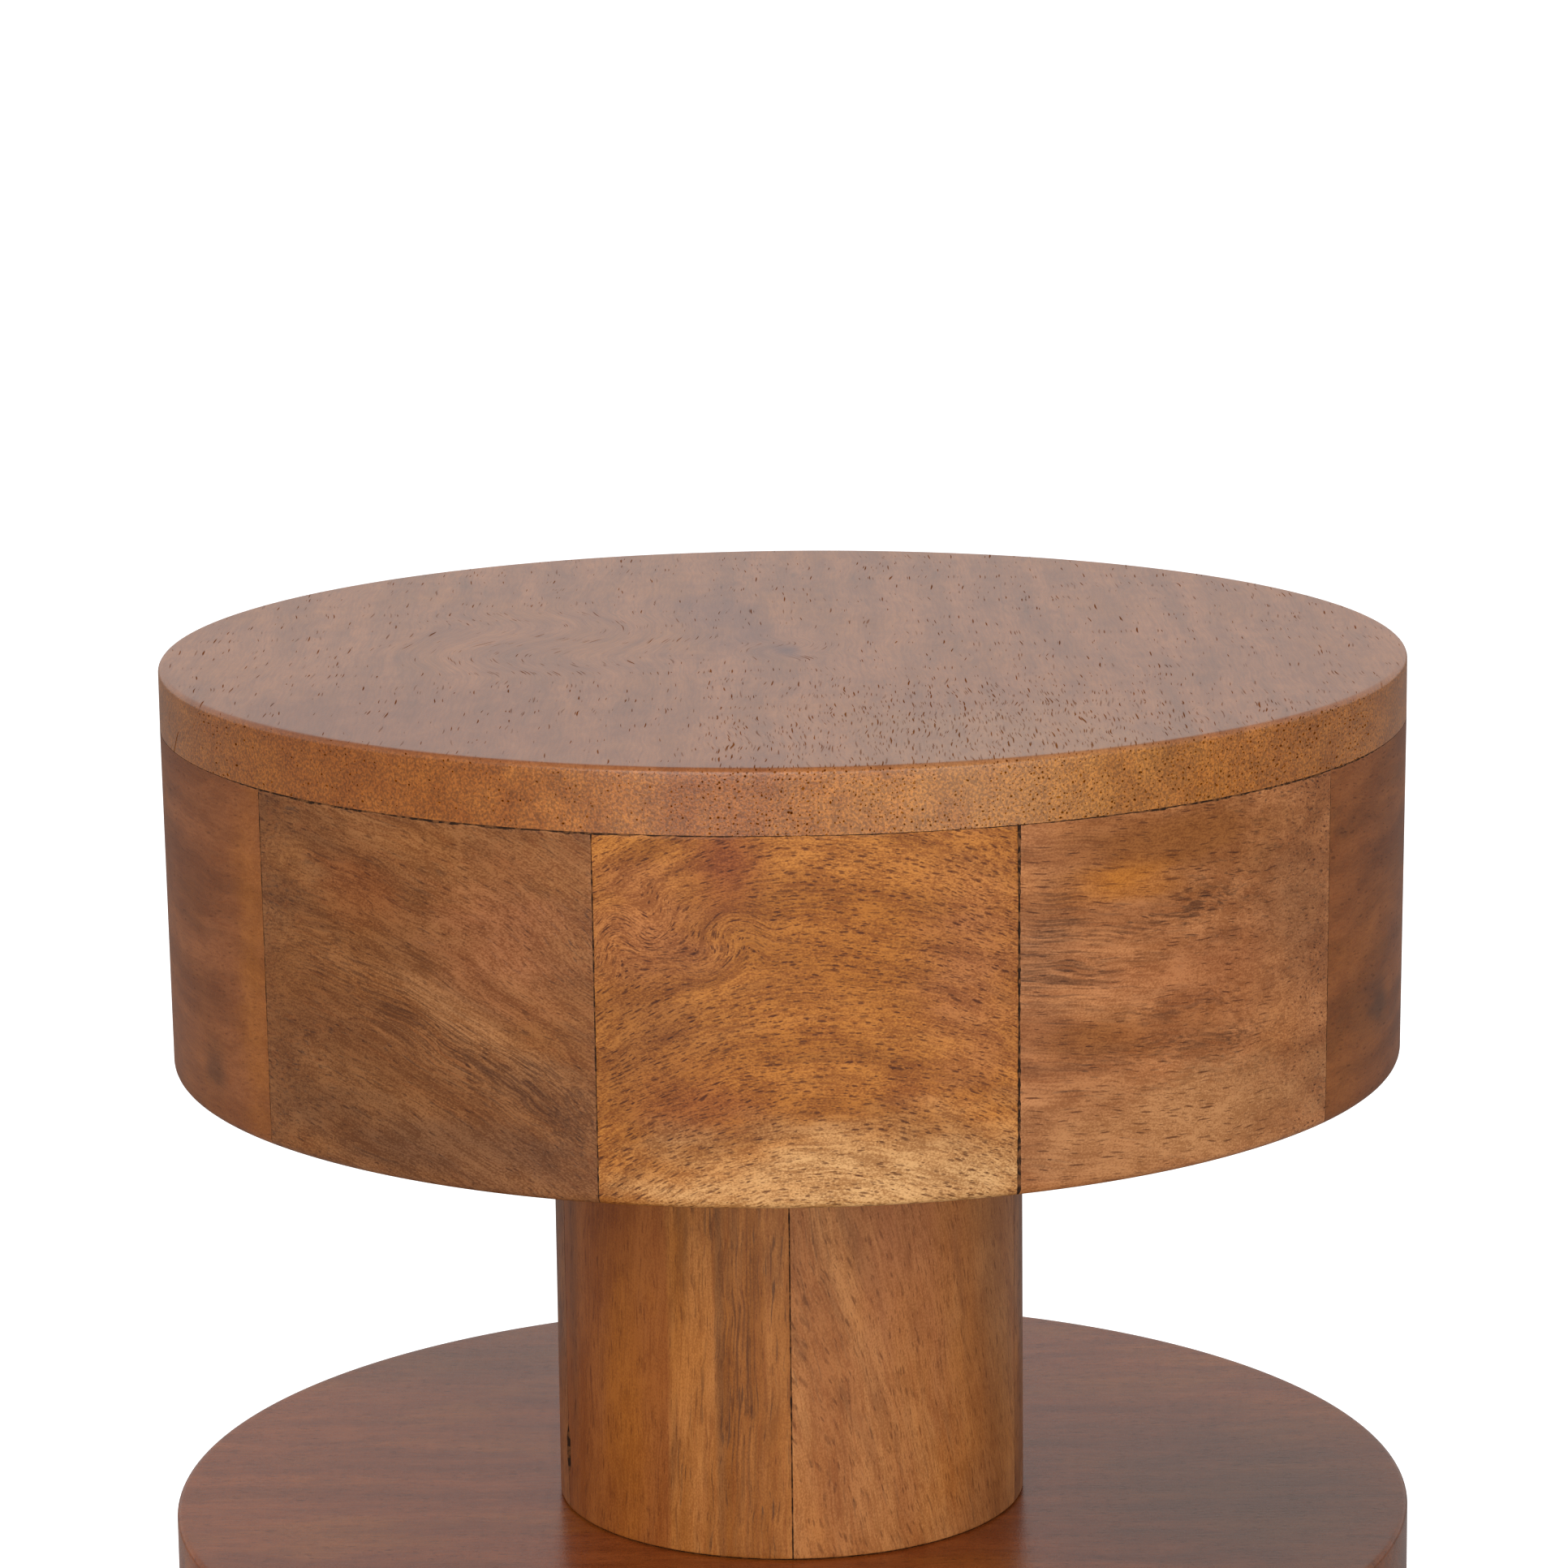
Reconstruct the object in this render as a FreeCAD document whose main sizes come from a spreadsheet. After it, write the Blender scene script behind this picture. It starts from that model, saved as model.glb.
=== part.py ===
import FreeCAD, Part
import os
import Sketcher

# Drink table of three stacked wooden drums on two round columns, in millimetres, +Z up.
# The origin is on the floor, under the middle of the table; the front of the table faces -Y.
# Each drum is a ring of wood segments with a board cap glued on it and a panel let into its foot.
# The columns are staved tubes, and one threaded rod draws the whole stack together.

# Driving sizes: name, value, what it measures. Angles are in degrees from +X towards +Y.
DRIVING_SIZES = [
    ("top_drum_radius", 152.5, "outer radius of the top drum"),
    ("lower_drum_radius", 155, "outer radius of the middle and base drums"),
    ("cap_thickness", 15, "thickness of the board cap on each drum"),
    ("cap_rounding", 1.8, "rounding of a cap's upper edge"),
    ("cap_joint_offset", 18, "distance from the axis to the joint between the two planks of a cap"),
    ("top_cap_angle", 0, "bearing of the line square to the top cap's joint"),
    ("middle_cap_angle", 90, "the same for the middle cap"),
    ("base_cap_angle", 25, "the same for the base cap"),
    ("ring_height", 85, "height of a ring of segments"),
    ("ring_wall", 25, "thickness of a ring, from outside to inside"),
    ("ring_foot_inset", 0.7, "how much less the radius is at the foot of a ring than at its head"),
    ("ring_rounding", 2, "rounding of a ring's lower outer edge"),
    ("segment_count", 10, "segments in one ring"),
    ("top_ring_angle", -70.2, "bearing of one joint between segments of the top ring"),
    ("middle_ring_angle", -83, "the same for the middle ring"),
    ("base_ring_angle", -78, "the same for the base ring"),
    ("panel_thickness", 12, "thickness of the panel in a drum's foot"),
    ("rebate_width", 12, "width of the step that a panel sits in"),
    ("panel_gap", 0.2, "gap round a panel's edge"),
    ("column_radius", 58.5, "outer radius of a column"),
    ("column_wall", 24, "thickness of a stave"),
    ("column_length", 115, "length of a column between two drums"),
    ("stave_count", 5, "staves in one column"),
    ("column_angle", -90, "bearing of one joint between staves"),
    ("fixing_block_height", 32, "height of the block that holds the threaded insert"),
    ("rod_radius", 5, "radius of the threaded rod"),
    ("rod_gap", 0.75, "gap round the rod where it passes through wood"),
    ("rod_projection", 1.5, "length of rod that stands past the insert and past the nut"),
    ("rod_chamfer", 0.8, "chamfer on the ends of the rod"),
    ("thread_gap", 0.1, "gap between the rod and the threads that hold it"),
    ("insert_barrel_radius", 7, "outer radius of the threaded insert's barrel"),
    ("insert_barrel_length", 20, "length of the insert's barrel"),
    ("insert_flange_radius", 12, "radius of the insert's flange"),
    ("insert_flange_thickness", 2, "thickness of the insert's flange"),
    ("insert_gap", 0.15, "gap round the insert's barrel"),
    ("nut_across_flats", 17, "width of the hexagon nut"),
    ("nut_height", 8, "height of the nut"),
    ("washer_radius", 15, "outer radius of the washer"),
    ("washer_thickness", 2, "thickness of the washer"),
    ("access_gap", 5, "room for a socket round the washer, in the base panel"),
    ("dowel_radius", 4, "radius of a locating dowel"),
    ("dowel_stave_depth", 20, "depth of a dowel in a stave"),
    ("dowel_drum_depth", 9, "depth of a dowel in a cap or a panel"),
    ("dowel_gap", 0.1, "gap round a dowel"),
    ("dowel_end_gap", 0.5, "room for glue past each end of a dowel"),
    ("screw_count", 5, "screws that hold the base panel"),
    ("screw_radius", 2, "radius of a screw's shank"),
    ("screw_length", 28, "length of a screw under its head"),
    ("screw_tip_length", 5, "length of a screw's point"),
    ("screw_head_radius", 4, "radius of a screw's head"),
    ("screw_head_height", 3, "height of a screw's head"),
    ("screw_gap", 0.1, "gap round a screw"),
    ("pad_count", 5, "felt pads under the base"),
    ("pad_radius", 9.5, "radius of a felt pad"),
    ("pad_thickness", 3, "thickness of a felt pad"),
    ("cut_overrun", 4, "how far a cut runs past the face it starts from"),
]

doc = FreeCAD.newDocument("drink_table")
sheet = doc.addObject("Spreadsheet::Sheet", "Sizes")
for row, (alias, number, meaning) in enumerate(DRIVING_SIZES, start=1):
    sheet.set(f"A{row}", alias)
    sheet.set(f"B{row}", str(number))
    sheet.set(f"C{row}", meaning)
    sheet.setAlias(f"B{row}", alias)
doc.recompute()

finished = []


def size(expression):
    """The present value of an expression in the sheet's names."""
    return float(sheet.evalExpression(expression))


def count(alias):
    """A whole number from the sheet."""
    return int(round(size("Sizes." + alias)))


# Heights of the stack, as expressions: each drum stands on the column or the pads below it.
DRUM_HEIGHT = "(Sizes.ring_height + Sizes.cap_thickness)"
TIER_HEIGHT = f"({DRUM_HEIGHT} + Sizes.column_length)"
BASE_FOOT = "Sizes.pad_thickness"
MIDDLE_FOOT = f"({BASE_FOOT} + {TIER_HEIGHT})"
TOP_FOOT = f"({MIDDLE_FOOT} + {TIER_HEIGHT})"
LOWER_COLUMN_FOOT = f"({BASE_FOOT} + {DRUM_HEIGHT})"
UPPER_COLUMN_FOOT = f"({MIDDLE_FOOT} + {DRUM_HEIGHT})"

# Radii and heights that several pieces share.
ROD_BORE = "(Sizes.rod_radius + Sizes.rod_gap)"
THREAD_BORE = "(Sizes.rod_radius + Sizes.thread_gap)"
DOWEL_BORE = "(Sizes.dowel_radius + Sizes.dowel_gap)"
DOWEL_CIRCLE = "(Sizes.column_radius - Sizes.column_wall / 2)"
DOWEL_DRUM_HOLE = "(Sizes.dowel_drum_depth + Sizes.dowel_end_gap)"
DOWEL_STAVE_HOLE = "(Sizes.dowel_stave_depth + Sizes.dowel_end_gap)"
STAVE_ANGLE = "(360 / Sizes.stave_count)"
SEGMENT_ANGLE = "(360 / Sizes.segment_count)"
SCREW_CIRCLE = "(Sizes.lower_drum_radius - Sizes.ring_wall + Sizes.rebate_width / 2)"
PAD_CIRCLE = "(Sizes.lower_drum_radius - Sizes.ring_wall / 2)"
BLOCK_FOOT = "Sizes.panel_thickness"
SPACER_HEIGHT = "(Sizes.ring_height - Sizes.panel_thickness)"


def stave_bearing(index):
    """Bearing of the middle of a stave, as an expression."""
    return f"(Sizes.column_angle + {STAVE_ANGLE} * ({index} + 1 / 2))"


def segment_bearing(ring_angle, index):
    """Bearing of the middle of a ring segment, as an expression."""
    return f"(Sizes.{ring_angle} + {SEGMENT_ANGLE} * ({index} + 1 / 2))"


def polar(radius, bearing):
    """Expressions for x and y of a point at a radius and a bearing."""
    return (f"{radius} * cos({bearing})", f"{radius} * sin({bearing})")


def bind(thing, **expressions):
    """Tie properties of a document object to expressions; two underscores stand for a dot."""
    for name, expression in expressions.items():
        thing.setExpression(name.replace("__", "."), expression)
    return thing


def finish(thing, label):
    """Give a sub-part its label and put it on the list of pieces to write."""
    thing.Label = label
    finished.append(thing)
    return thing


def new_body(label, foot, bearing="0"):
    """An empty body that stands at a height and is turned about the table's axis."""
    body = doc.addObject("PartDesign::Body", label)
    bind(body, Placement__Base__z=foot, Placement__Rotation__Angle=bearing)
    return body


def origin_item(body, role):
    """One of the body's own origin planes or axes."""
    return [item for item in body.Origin.OriginFeatures if item.Role == role][0]


def new_sketch(body, name, plane, height="0"):
    """A sketch on an origin plane of the body, raised along the plane's normal."""
    sketch = body.newObject("Sketcher::SketchObject", name)
    sketch.AttachmentSupport = [(origin_item(body, plane), "")]
    sketch.MapMode = "FlatFace"
    if height != "0":
        sketch.setExpression("AttachmentOffset.Base.z", height)
    return sketch


def pin_point(sketch, element, point, place):
    """Hold a point of a sketch at an x and a y that are given as expressions."""
    for kind, axis, expression in (("DistanceX", -2, place[0]), ("DistanceY", -1, place[1])):
        if expression == "0":
            sketch.addConstraint(Sketcher.Constraint("PointOnObject", element, point, axis))
            continue
        rule = Sketcher.Constraint(kind, -1, 1, element, point, size(expression))
        sketch.setExpression(f"Constraints[{sketch.addConstraint(rule)}]", expression)


def draw_outline(sketch, corners):
    """A closed outline of straight lines through corners given as pairs of expressions."""
    points = [FreeCAD.Vector(size(across), size(up), 0) for across, up in corners]
    total = len(points)
    for index in range(total):
        sketch.addGeometry(Part.LineSegment(points[index], points[(index + 1) % total]))
    for index in range(total):
        sketch.addConstraint(Sketcher.Constraint("Coincident", index, 2, (index + 1) % total, 1))
        pin_point(sketch, index, 1, corners[index])


def draw_circle(sketch, place, radius):
    """A circle with its middle at a place and a radius, all as expressions."""
    middle = FreeCAD.Vector(size(place[0]), size(place[1]), 0)
    element = sketch.addGeometry(Part.Circle(middle, FreeCAD.Vector(0, 0, 1), size(radius)))
    if place == ("0", "0"):
        sketch.addConstraint(Sketcher.Constraint("Coincident", element, 3, -1, 1))
    else:
        pin_point(sketch, element, 3, place)
    rule = Sketcher.Constraint("Radius", element, size(radius))
    sketch.setExpression(f"Constraints[{sketch.addConstraint(rule)}]", radius)


def pad(body, name, sketch, length):
    """Raise a sketch into a solid."""
    feature = body.newObject("PartDesign::Pad", name)
    feature.Profile = sketch
    return bind(feature, Length=length)


def drill(body, name, places, radius, start, depth, upwards=False):
    """Round holes at places on the body, from a height, down or up by a depth."""
    if not places:
        return
    sketch = new_sketch(body, name + "_outline", "XY_Plane", start)
    for place in places:
        draw_circle(sketch, place, radius)
    feature = body.newObject("PartDesign::Pocket", name)
    feature.Profile = sketch
    feature.Reversed = upwards
    bind(feature, Length=depth)


def turn_about_axis(body, name, corners, angle):
    """Turn an outline in the XZ plane about Z, evenly to both sides of that plane."""
    sketch = new_sketch(body, name + "_outline", "XZ_Plane")
    draw_outline(sketch, corners)
    feature = body.newObject("PartDesign::Revolution", name)
    feature.Profile = sketch
    feature.ReferenceAxis = (sketch, ["V_Axis"])
    feature.Midplane = True
    return bind(feature, Angle=angle)


def round_arcs(body, name, base, radius, height, rounding):
    """Round the arcs of a solid that lie at a radius and a height."""
    doc.recompute()
    near = base.Shape.BoundBox.DiagonalLength / 1e6
    edges = []
    for index, edge in enumerate(base.Shape.Edges, start=1):
        middle = edge.CenterOfMass
        level = abs(middle.z - size(height)) < near and edge.BoundBox.ZLength < near
        on_arc = isinstance(edge.Curve, Part.Circle) and abs(edge.Curve.Radius - size(radius)) < near
        if level and on_arc:
            edges.append(f"Edge{index}")
    feature = body.newObject("PartDesign::Fillet", name)
    feature.Base = (base, edges)
    return bind(feature, Radius=rounding)


def ring_segment(drum, index, radius, foot, ring_angle):
    """One segment of a drum's ring: an arc of wood with a step inside its foot for the panel."""
    body = new_body(f"{drum}_ring_segment_{index + 1:02d}", foot, segment_bearing(ring_angle, index))
    inside = f"({radius} - Sizes.ring_wall)"
    step = f"({inside} + Sizes.rebate_width)"
    foot_radius = f"({radius} - Sizes.ring_foot_inset)"
    corners = [
        (step, "0"),
        (foot_radius, "0"),
        (radius, "Sizes.ring_height"),
        (inside, "Sizes.ring_height"),
        (inside, "Sizes.panel_thickness"),
        (step, "Sizes.panel_thickness"),
    ]
    arc = turn_about_axis(body, f"{drum}_segment_arc", corners, SEGMENT_ANGLE)
    round_arcs(body, f"{drum}_segment_edge", arc, foot_radius, "0", "Sizes.ring_rounding")
    return body


def drum_ring(drum, radius, foot, ring_angle, screw_bearings=()):
    """All the segments of a ring; pilot holes go into the segments that take a screw."""
    for index in range(count("segment_count")):
        body = ring_segment(drum, index, radius, foot, ring_angle)
        own = segment_bearing(ring_angle, index)
        reach = size(SEGMENT_ANGLE) / 2
        places = []
        for bearing in screw_bearings:
            away = (size(f"{bearing} - {own}") + 180) % 360 - 180
            if abs(away) < reach:
                places.append(polar(SCREW_CIRCLE, f"({bearing} - {own})"))
        pilot = "(Sizes.screw_length + Sizes.screw_head_height + Sizes.screw_gap)"
        drill(body, f"{drum}_pilot", places, "(Sizes.screw_radius + Sizes.screw_gap)", "0", pilot, True)
        finish(body, body.Label)


def cap_plank(drum, side, radius, foot, cap_angle, bored):
    """One of the two planks of a cap: the disc on one side of the joint, with its upper edge rounded."""
    body = new_body(f"{drum}_cap_plank_{side}", f"({foot} + Sizes.ring_height)", f"Sizes.{cap_angle}")
    sketch = new_sketch(body, f"{drum}_plank_outline", "XY_Plane")
    offset = size("Sizes.cap_joint_offset")
    reach = size(radius)
    half_chord = (reach**2 - offset**2) ** 0.5
    upper = FreeCAD.Vector(-offset, half_chord, 0)
    lower = FreeCAD.Vector(-offset, -half_chord, 0)
    beyond = FreeCAD.Vector(-reach if side == "left" else reach, 0, 0)
    arc = sketch.addGeometry(Part.Arc(lower, beyond, upper))
    chord = sketch.addGeometry(Part.LineSegment(upper, lower))
    arc_start = sketch.getPoint(arc, 1)
    first, last = (1, 2) if (arc_start - lower).Length < (arc_start - upper).Length else (2, 1)
    sketch.addConstraint(Sketcher.Constraint("Coincident", arc, 3, -1, 1))
    sketch.addConstraint(Sketcher.Constraint("Coincident", arc, last, chord, 1))
    sketch.addConstraint(Sketcher.Constraint("Coincident", arc, first, chord, 2))
    sketch.addConstraint(Sketcher.Constraint("Vertical", chord))
    rule = sketch.addConstraint(Sketcher.Constraint("Radius", arc, reach))
    sketch.setExpression(f"Constraints[{rule}]", radius)
    rule = sketch.addConstraint(Sketcher.Constraint("DistanceX", -1, 1, chord, 1, -offset))
    sketch.setExpression(f"Constraints[{rule}]", "-Sizes.cap_joint_offset")
    board = pad(body, f"{drum}_plank_board", sketch, "Sizes.cap_thickness")
    round_arcs(body, f"{drum}_plank_edge", board, radius, "Sizes.cap_thickness", "Sizes.cap_rounding")
    if bored:
        bearings = [f"({stave_bearing(index)} - Sizes.{cap_angle})" for index in range(count("stave_count"))]
        dowels = [polar(DOWEL_CIRCLE, bearing) for bearing in bearings]
        dowels = [place for place in dowels if touches_plank(side, place, DOWEL_BORE)]
        drill(body, f"{drum}_plank_dowels", dowels, DOWEL_BORE, "Sizes.cap_thickness", DOWEL_DRUM_HOLE)
        bore = [("0", "0")] if touches_plank(side, ("0", "0"), ROD_BORE) else []
        drill(body, f"{drum}_plank_bore", bore, ROD_BORE, "Sizes.cap_thickness", "Sizes.cap_thickness")
    return finish(body, body.Label)


def touches_plank(side, place, radius):
    """Whether a round hole reaches into the plank on that side of a cap's joint."""
    beyond_joint = size(place[0]) + size("Sizes.cap_joint_offset")
    if side == "left":
        return beyond_joint < size(radius)
    return beyond_joint > -size(radius)


def foot_panel(drum, radius, foot):
    """The panel in a drum's foot: a disc that fills the step inside the ring."""
    body = new_body(f"{drum}_foot_panel", foot)
    sketch = new_sketch(body, f"{drum}_panel_outline", "XY_Plane")
    fit = f"({radius} - Sizes.ring_wall + Sizes.rebate_width - Sizes.panel_gap)"
    draw_circle(sketch, ("0", "0"), fit)
    pad(body, f"{drum}_panel_board", sketch, "Sizes.panel_thickness")
    return finish(body, body.Label)


def column_panel(drum, radius, foot):
    """A foot panel that stands on a column: bored for the rod and for the column's dowels."""
    body = foot_panel(drum, radius, foot)
    drill(body, f"{drum}_panel_bore", [("0", "0")], ROD_BORE, "0", "Sizes.panel_thickness", True)
    dowels = [polar(DOWEL_CIRCLE, stave_bearing(index)) for index in range(count("stave_count"))]
    drill(body, f"{drum}_panel_dowels", dowels, DOWEL_BORE, "0", DOWEL_DRUM_HOLE, True)


def base_panel(screw_bearings):
    """The base's foot panel: a hole to reach the nut, and counterbored screw holes."""
    body = foot_panel("base", "Sizes.lower_drum_radius", BASE_FOOT)
    access = "(Sizes.washer_radius + Sizes.access_gap)"
    drill(body, "base_panel_access", [("0", "0")], access, "0", "Sizes.panel_thickness", True)
    places = [polar(SCREW_CIRCLE, bearing) for bearing in screw_bearings]
    shank = "(Sizes.screw_radius + Sizes.screw_gap)"
    drill(body, "base_panel_shanks", places, shank, "0", "Sizes.panel_thickness", True)
    head = "(Sizes.screw_head_radius + Sizes.screw_gap)"
    drill(body, "base_panel_heads", places, head, "0", "Sizes.screw_head_height", True)


def column(name, foot):
    """The staves of one column, with a dowel hole in each end of each stave."""
    inside = "(Sizes.column_radius - Sizes.column_wall)"
    corners = [
        (inside, "0"),
        ("Sizes.column_radius", "0"),
        ("Sizes.column_radius", "Sizes.column_length"),
        (inside, "Sizes.column_length"),
    ]
    for index in range(count("stave_count")):
        body = new_body(f"{name}_column_stave_{index + 1}", foot, stave_bearing(index))
        turn_about_axis(body, f"{name}_stave_arc", corners, STAVE_ANGLE)
        place = [(DOWEL_CIRCLE, "0")]
        drill(body, f"{name}_stave_foot_hole", place, DOWEL_BORE, "0", DOWEL_STAVE_HOLE, True)
        drill(body, f"{name}_stave_head_hole", place, DOWEL_BORE, "Sizes.column_length", DOWEL_STAVE_HOLE)
        finish(body, body.Label)


def block(label, foot, height):
    """A square block inside a drum, as wide as the column under it, bored for the rod."""
    body = new_body(label, f"({foot} + {BLOCK_FOOT})")
    sketch = new_sketch(body, label + "_outline", "XY_Plane")
    half = "Sizes.column_radius"
    draw_outline(sketch, [("-" + half, "-" + half), (half, "-" + half), (half, half), ("-" + half, half)])
    pad(body, label + "_body", sketch, height)
    drill(body, label + "_bore", [("0", "0")], ROD_BORE, "0", height, True)
    return finish(body, body.Label)


def fixing_block():
    """The block in the top drum, bored wider from above for the threaded insert."""
    body = block("top_fixing_block", TOP_FOOT, "Sizes.fixing_block_height")
    barrel = "(Sizes.insert_barrel_radius + Sizes.insert_gap)"
    depth = "(Sizes.insert_barrel_length + Sizes.insert_gap)"
    drill(body, "fixing_block_seat", [("0", "0")], barrel, "Sizes.fixing_block_height", depth)


INSERT_SEAT = f"({TOP_FOOT} + {BLOCK_FOOT} + Sizes.fixing_block_height)"
WASHER_SEAT = f"({BASE_FOOT} + {BLOCK_FOOT})"
WASHER_FOOT = f"({WASHER_SEAT} - Sizes.washer_thickness)"
NUT_FOOT = f"({WASHER_FOOT} - Sizes.nut_height)"
ROD_FOOT = f"({NUT_FOOT} - Sizes.rod_projection)"
ROD_HEAD = f"({INSERT_SEAT} + Sizes.insert_flange_thickness + Sizes.rod_projection)"


def threaded_insert():
    """The flanged insert that the rod screws into: its flange lies on the fixing block."""
    body = new_body("threaded_insert", INSERT_SEAT)
    barrel_foot = "-Sizes.insert_barrel_length"
    corners = [
        (THREAD_BORE, barrel_foot),
        ("Sizes.insert_barrel_radius", barrel_foot),
        ("Sizes.insert_barrel_radius", "0"),
        ("Sizes.insert_flange_radius", "0"),
        ("Sizes.insert_flange_radius", "Sizes.insert_flange_thickness"),
        (THREAD_BORE, "Sizes.insert_flange_thickness"),
    ]
    turn_about_axis(body, "insert_profile", corners, "360")
    finish(body, body.Label)


def tie_rod():
    """The threaded rod from under the base up into the top drum, with chamfered ends."""
    body = new_body("tie_rod", ROD_FOOT)
    length = f"({ROD_HEAD} - {ROD_FOOT})"
    sketch = new_sketch(body, "rod_outline", "XY_Plane")
    draw_circle(sketch, ("0", "0"), "Sizes.rod_radius")
    bar = pad(body, "rod_bar", sketch, length)
    doc.recompute()
    ends = [f"Edge{i}" for i, edge in enumerate(bar.Shape.Edges, start=1) if edge.isClosed()]
    chamfer = body.newObject("PartDesign::Chamfer", "rod_ends")
    chamfer.Base = (bar, ends)
    bind(chamfer, Size="Sizes.rod_chamfer")
    finish(body, body.Label)


def cylinder(name, radius, height, place, foot):
    """A plain upright cylinder."""
    thing = bind(doc.addObject("Part::Cylinder", name), Radius=radius, Height=height)
    return bind(thing, Placement__Base__x=place[0], Placement__Base__y=place[1], Placement__Base__z=foot)


def cut(label, base, tool):
    """One solid less another."""
    thing = doc.addObject("Part::Cut", label)
    thing.Base = base
    thing.Tool = tool
    return finish(thing, label)


def group(label, members):
    """Like pieces that share one name."""
    thing = doc.addObject("Part::Compound", label)
    thing.Links = members
    return finish(thing, label)


def rod_fastening():
    """The washer and the hexagon nut that draw the rod tight under the base."""
    middle = ("0", "0")
    disc = cylinder("washer_disc", "Sizes.washer_radius", "Sizes.washer_thickness", middle, WASHER_FOOT)
    hole_foot = f"({WASHER_FOOT} - Sizes.cut_overrun)"
    hole_height = "(Sizes.washer_thickness + 2 * Sizes.cut_overrun)"
    cut("rod_washer", disc, cylinder("washer_hole", THREAD_BORE, hole_height, middle, hole_foot))
    hexagon = doc.addObject("Part::Prism", "nut_hexagon")
    hexagon.Polygon = 6
    bind(hexagon, Circumradius="Sizes.nut_across_flats / sqrt(3)", Height="Sizes.nut_height")
    bind(hexagon, Placement__Base__z=NUT_FOOT)
    hole_foot = f"({NUT_FOOT} - Sizes.cut_overrun)"
    hole_height = "(Sizes.nut_height + 2 * Sizes.cut_overrun)"
    cut("rod_nut", hexagon, cylinder("nut_hole", THREAD_BORE, hole_height, middle, hole_foot))


def locating_dowels():
    """The dowels between each column and the drums above and below it."""
    length = "(Sizes.dowel_stave_depth + Sizes.dowel_drum_depth)"
    members = []
    for name, foot in (("lower", LOWER_COLUMN_FOOT), ("upper", UPPER_COLUMN_FOOT)):
        head_foot = f"({foot} + Sizes.column_length - Sizes.dowel_stave_depth)"
        foot_foot = f"({foot} - Sizes.dowel_drum_depth)"
        for index in range(count("stave_count")):
            place = polar(DOWEL_CIRCLE, stave_bearing(index))
            for end, dowel_foot in (("foot", foot_foot), ("head", head_foot)):
                dowel = f"{name}_{end}_dowel_{index + 1}"
                members.append(cylinder(dowel, "Sizes.dowel_radius", length, place, dowel_foot))
    group("locating_dowels", members)


def base_screws(screw_bearings):
    """Screws up through the base panel into the ring, with their heads in the counterbores."""
    members = []
    head_height = "Sizes.screw_head_height"
    seat = f"({BASE_FOOT} + {head_height})"
    straight = "(Sizes.screw_length - Sizes.screw_tip_length)"
    for index, bearing in enumerate(screw_bearings, start=1):
        place = polar(SCREW_CIRCLE, bearing)
        head = cylinder(f"screw_head_{index}", "Sizes.screw_head_radius", head_height, place, BASE_FOOT)
        shank = cylinder(f"screw_shank_{index}", "Sizes.screw_radius", straight, place, seat)
        point = doc.addObject("Part::Cone", f"screw_point_{index}")
        point.Radius2 = 0
        bind(point, Radius1="Sizes.screw_radius", Height="Sizes.screw_tip_length")
        bind(point, Placement__Base__x=place[0], Placement__Base__y=place[1])
        bind(point, Placement__Base__z=f"({seat} + {straight})")
        screw = doc.addObject("Part::MultiFuse", f"base_screw_{index}")
        screw.Shapes = [head, shank, point]
        members.append(screw)
    group("base_panel_screws", members)


def felt_pads(pad_bearings):
    """Round felt pads under the base ring, which the table stands on."""
    members = []
    for index, bearing in enumerate(pad_bearings, start=1):
        place = polar(PAD_CIRCLE, bearing)
        members.append(cylinder(f"felt_pad_{index}", "Sizes.pad_radius", "Sizes.pad_thickness", place, "0"))
    group("felt_pads", members)


def around_base(number_alias, start_index):
    """Bearings spread evenly round the base, from the middle of one of its segments."""
    start = segment_bearing("base_ring_angle", start_index)
    return [f"({start} + 360 / Sizes.{number_alias} * {k})" for k in range(count(number_alias))]


screw_places = around_base("screw_count", 0)
pad_places = around_base("pad_count", 1)

drum_ring("top", "Sizes.top_drum_radius", TOP_FOOT, "top_ring_angle")
drum_ring("middle", "Sizes.lower_drum_radius", MIDDLE_FOOT, "middle_ring_angle")
drum_ring("base", "Sizes.lower_drum_radius", BASE_FOOT, "base_ring_angle", screw_places)
for plank_side in ("left", "right"):
    cap_plank("top", plank_side, "Sizes.top_drum_radius", TOP_FOOT, "top_cap_angle", False)
    cap_plank("middle", plank_side, "Sizes.lower_drum_radius", MIDDLE_FOOT, "middle_cap_angle", True)
    cap_plank("base", plank_side, "Sizes.lower_drum_radius", BASE_FOOT, "base_cap_angle", True)
column_panel("top", "Sizes.top_drum_radius", TOP_FOOT)
column_panel("middle", "Sizes.lower_drum_radius", MIDDLE_FOOT)
base_panel(screw_places)
column("upper", UPPER_COLUMN_FOOT)
column("lower", LOWER_COLUMN_FOOT)
fixing_block()
block("middle_spacer_block", MIDDLE_FOOT, SPACER_HEIGHT)
block("base_spacer_block", BASE_FOOT, SPACER_HEIGHT)
threaded_insert()
tie_rod()
rod_fastening()
locating_dowels()
base_screws(screw_places)
felt_pads(pad_places)
doc.recompute()


def check_document():
    """Stop if a feature failed, a hole cut nothing, or a piece is empty or broken."""
    for thing in doc.Objects:
        if {"Invalid", "Error"} & set(thing.State):
            raise RuntimeError(f"{thing.Label} failed: {thing.State}")
        if thing.TypeId == "PartDesign::Pocket" and thing.Shape.Volume >= thing.BaseFeature.Shape.Volume:
            raise RuntimeError(f"{thing.Label} cuts nothing")
    for piece in finished:
        if piece.Shape.isNull() or not piece.Shape.isValid() or not piece.Shape.Solids:
            raise RuntimeError(f"{piece.Label} has no sound shape")


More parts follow.
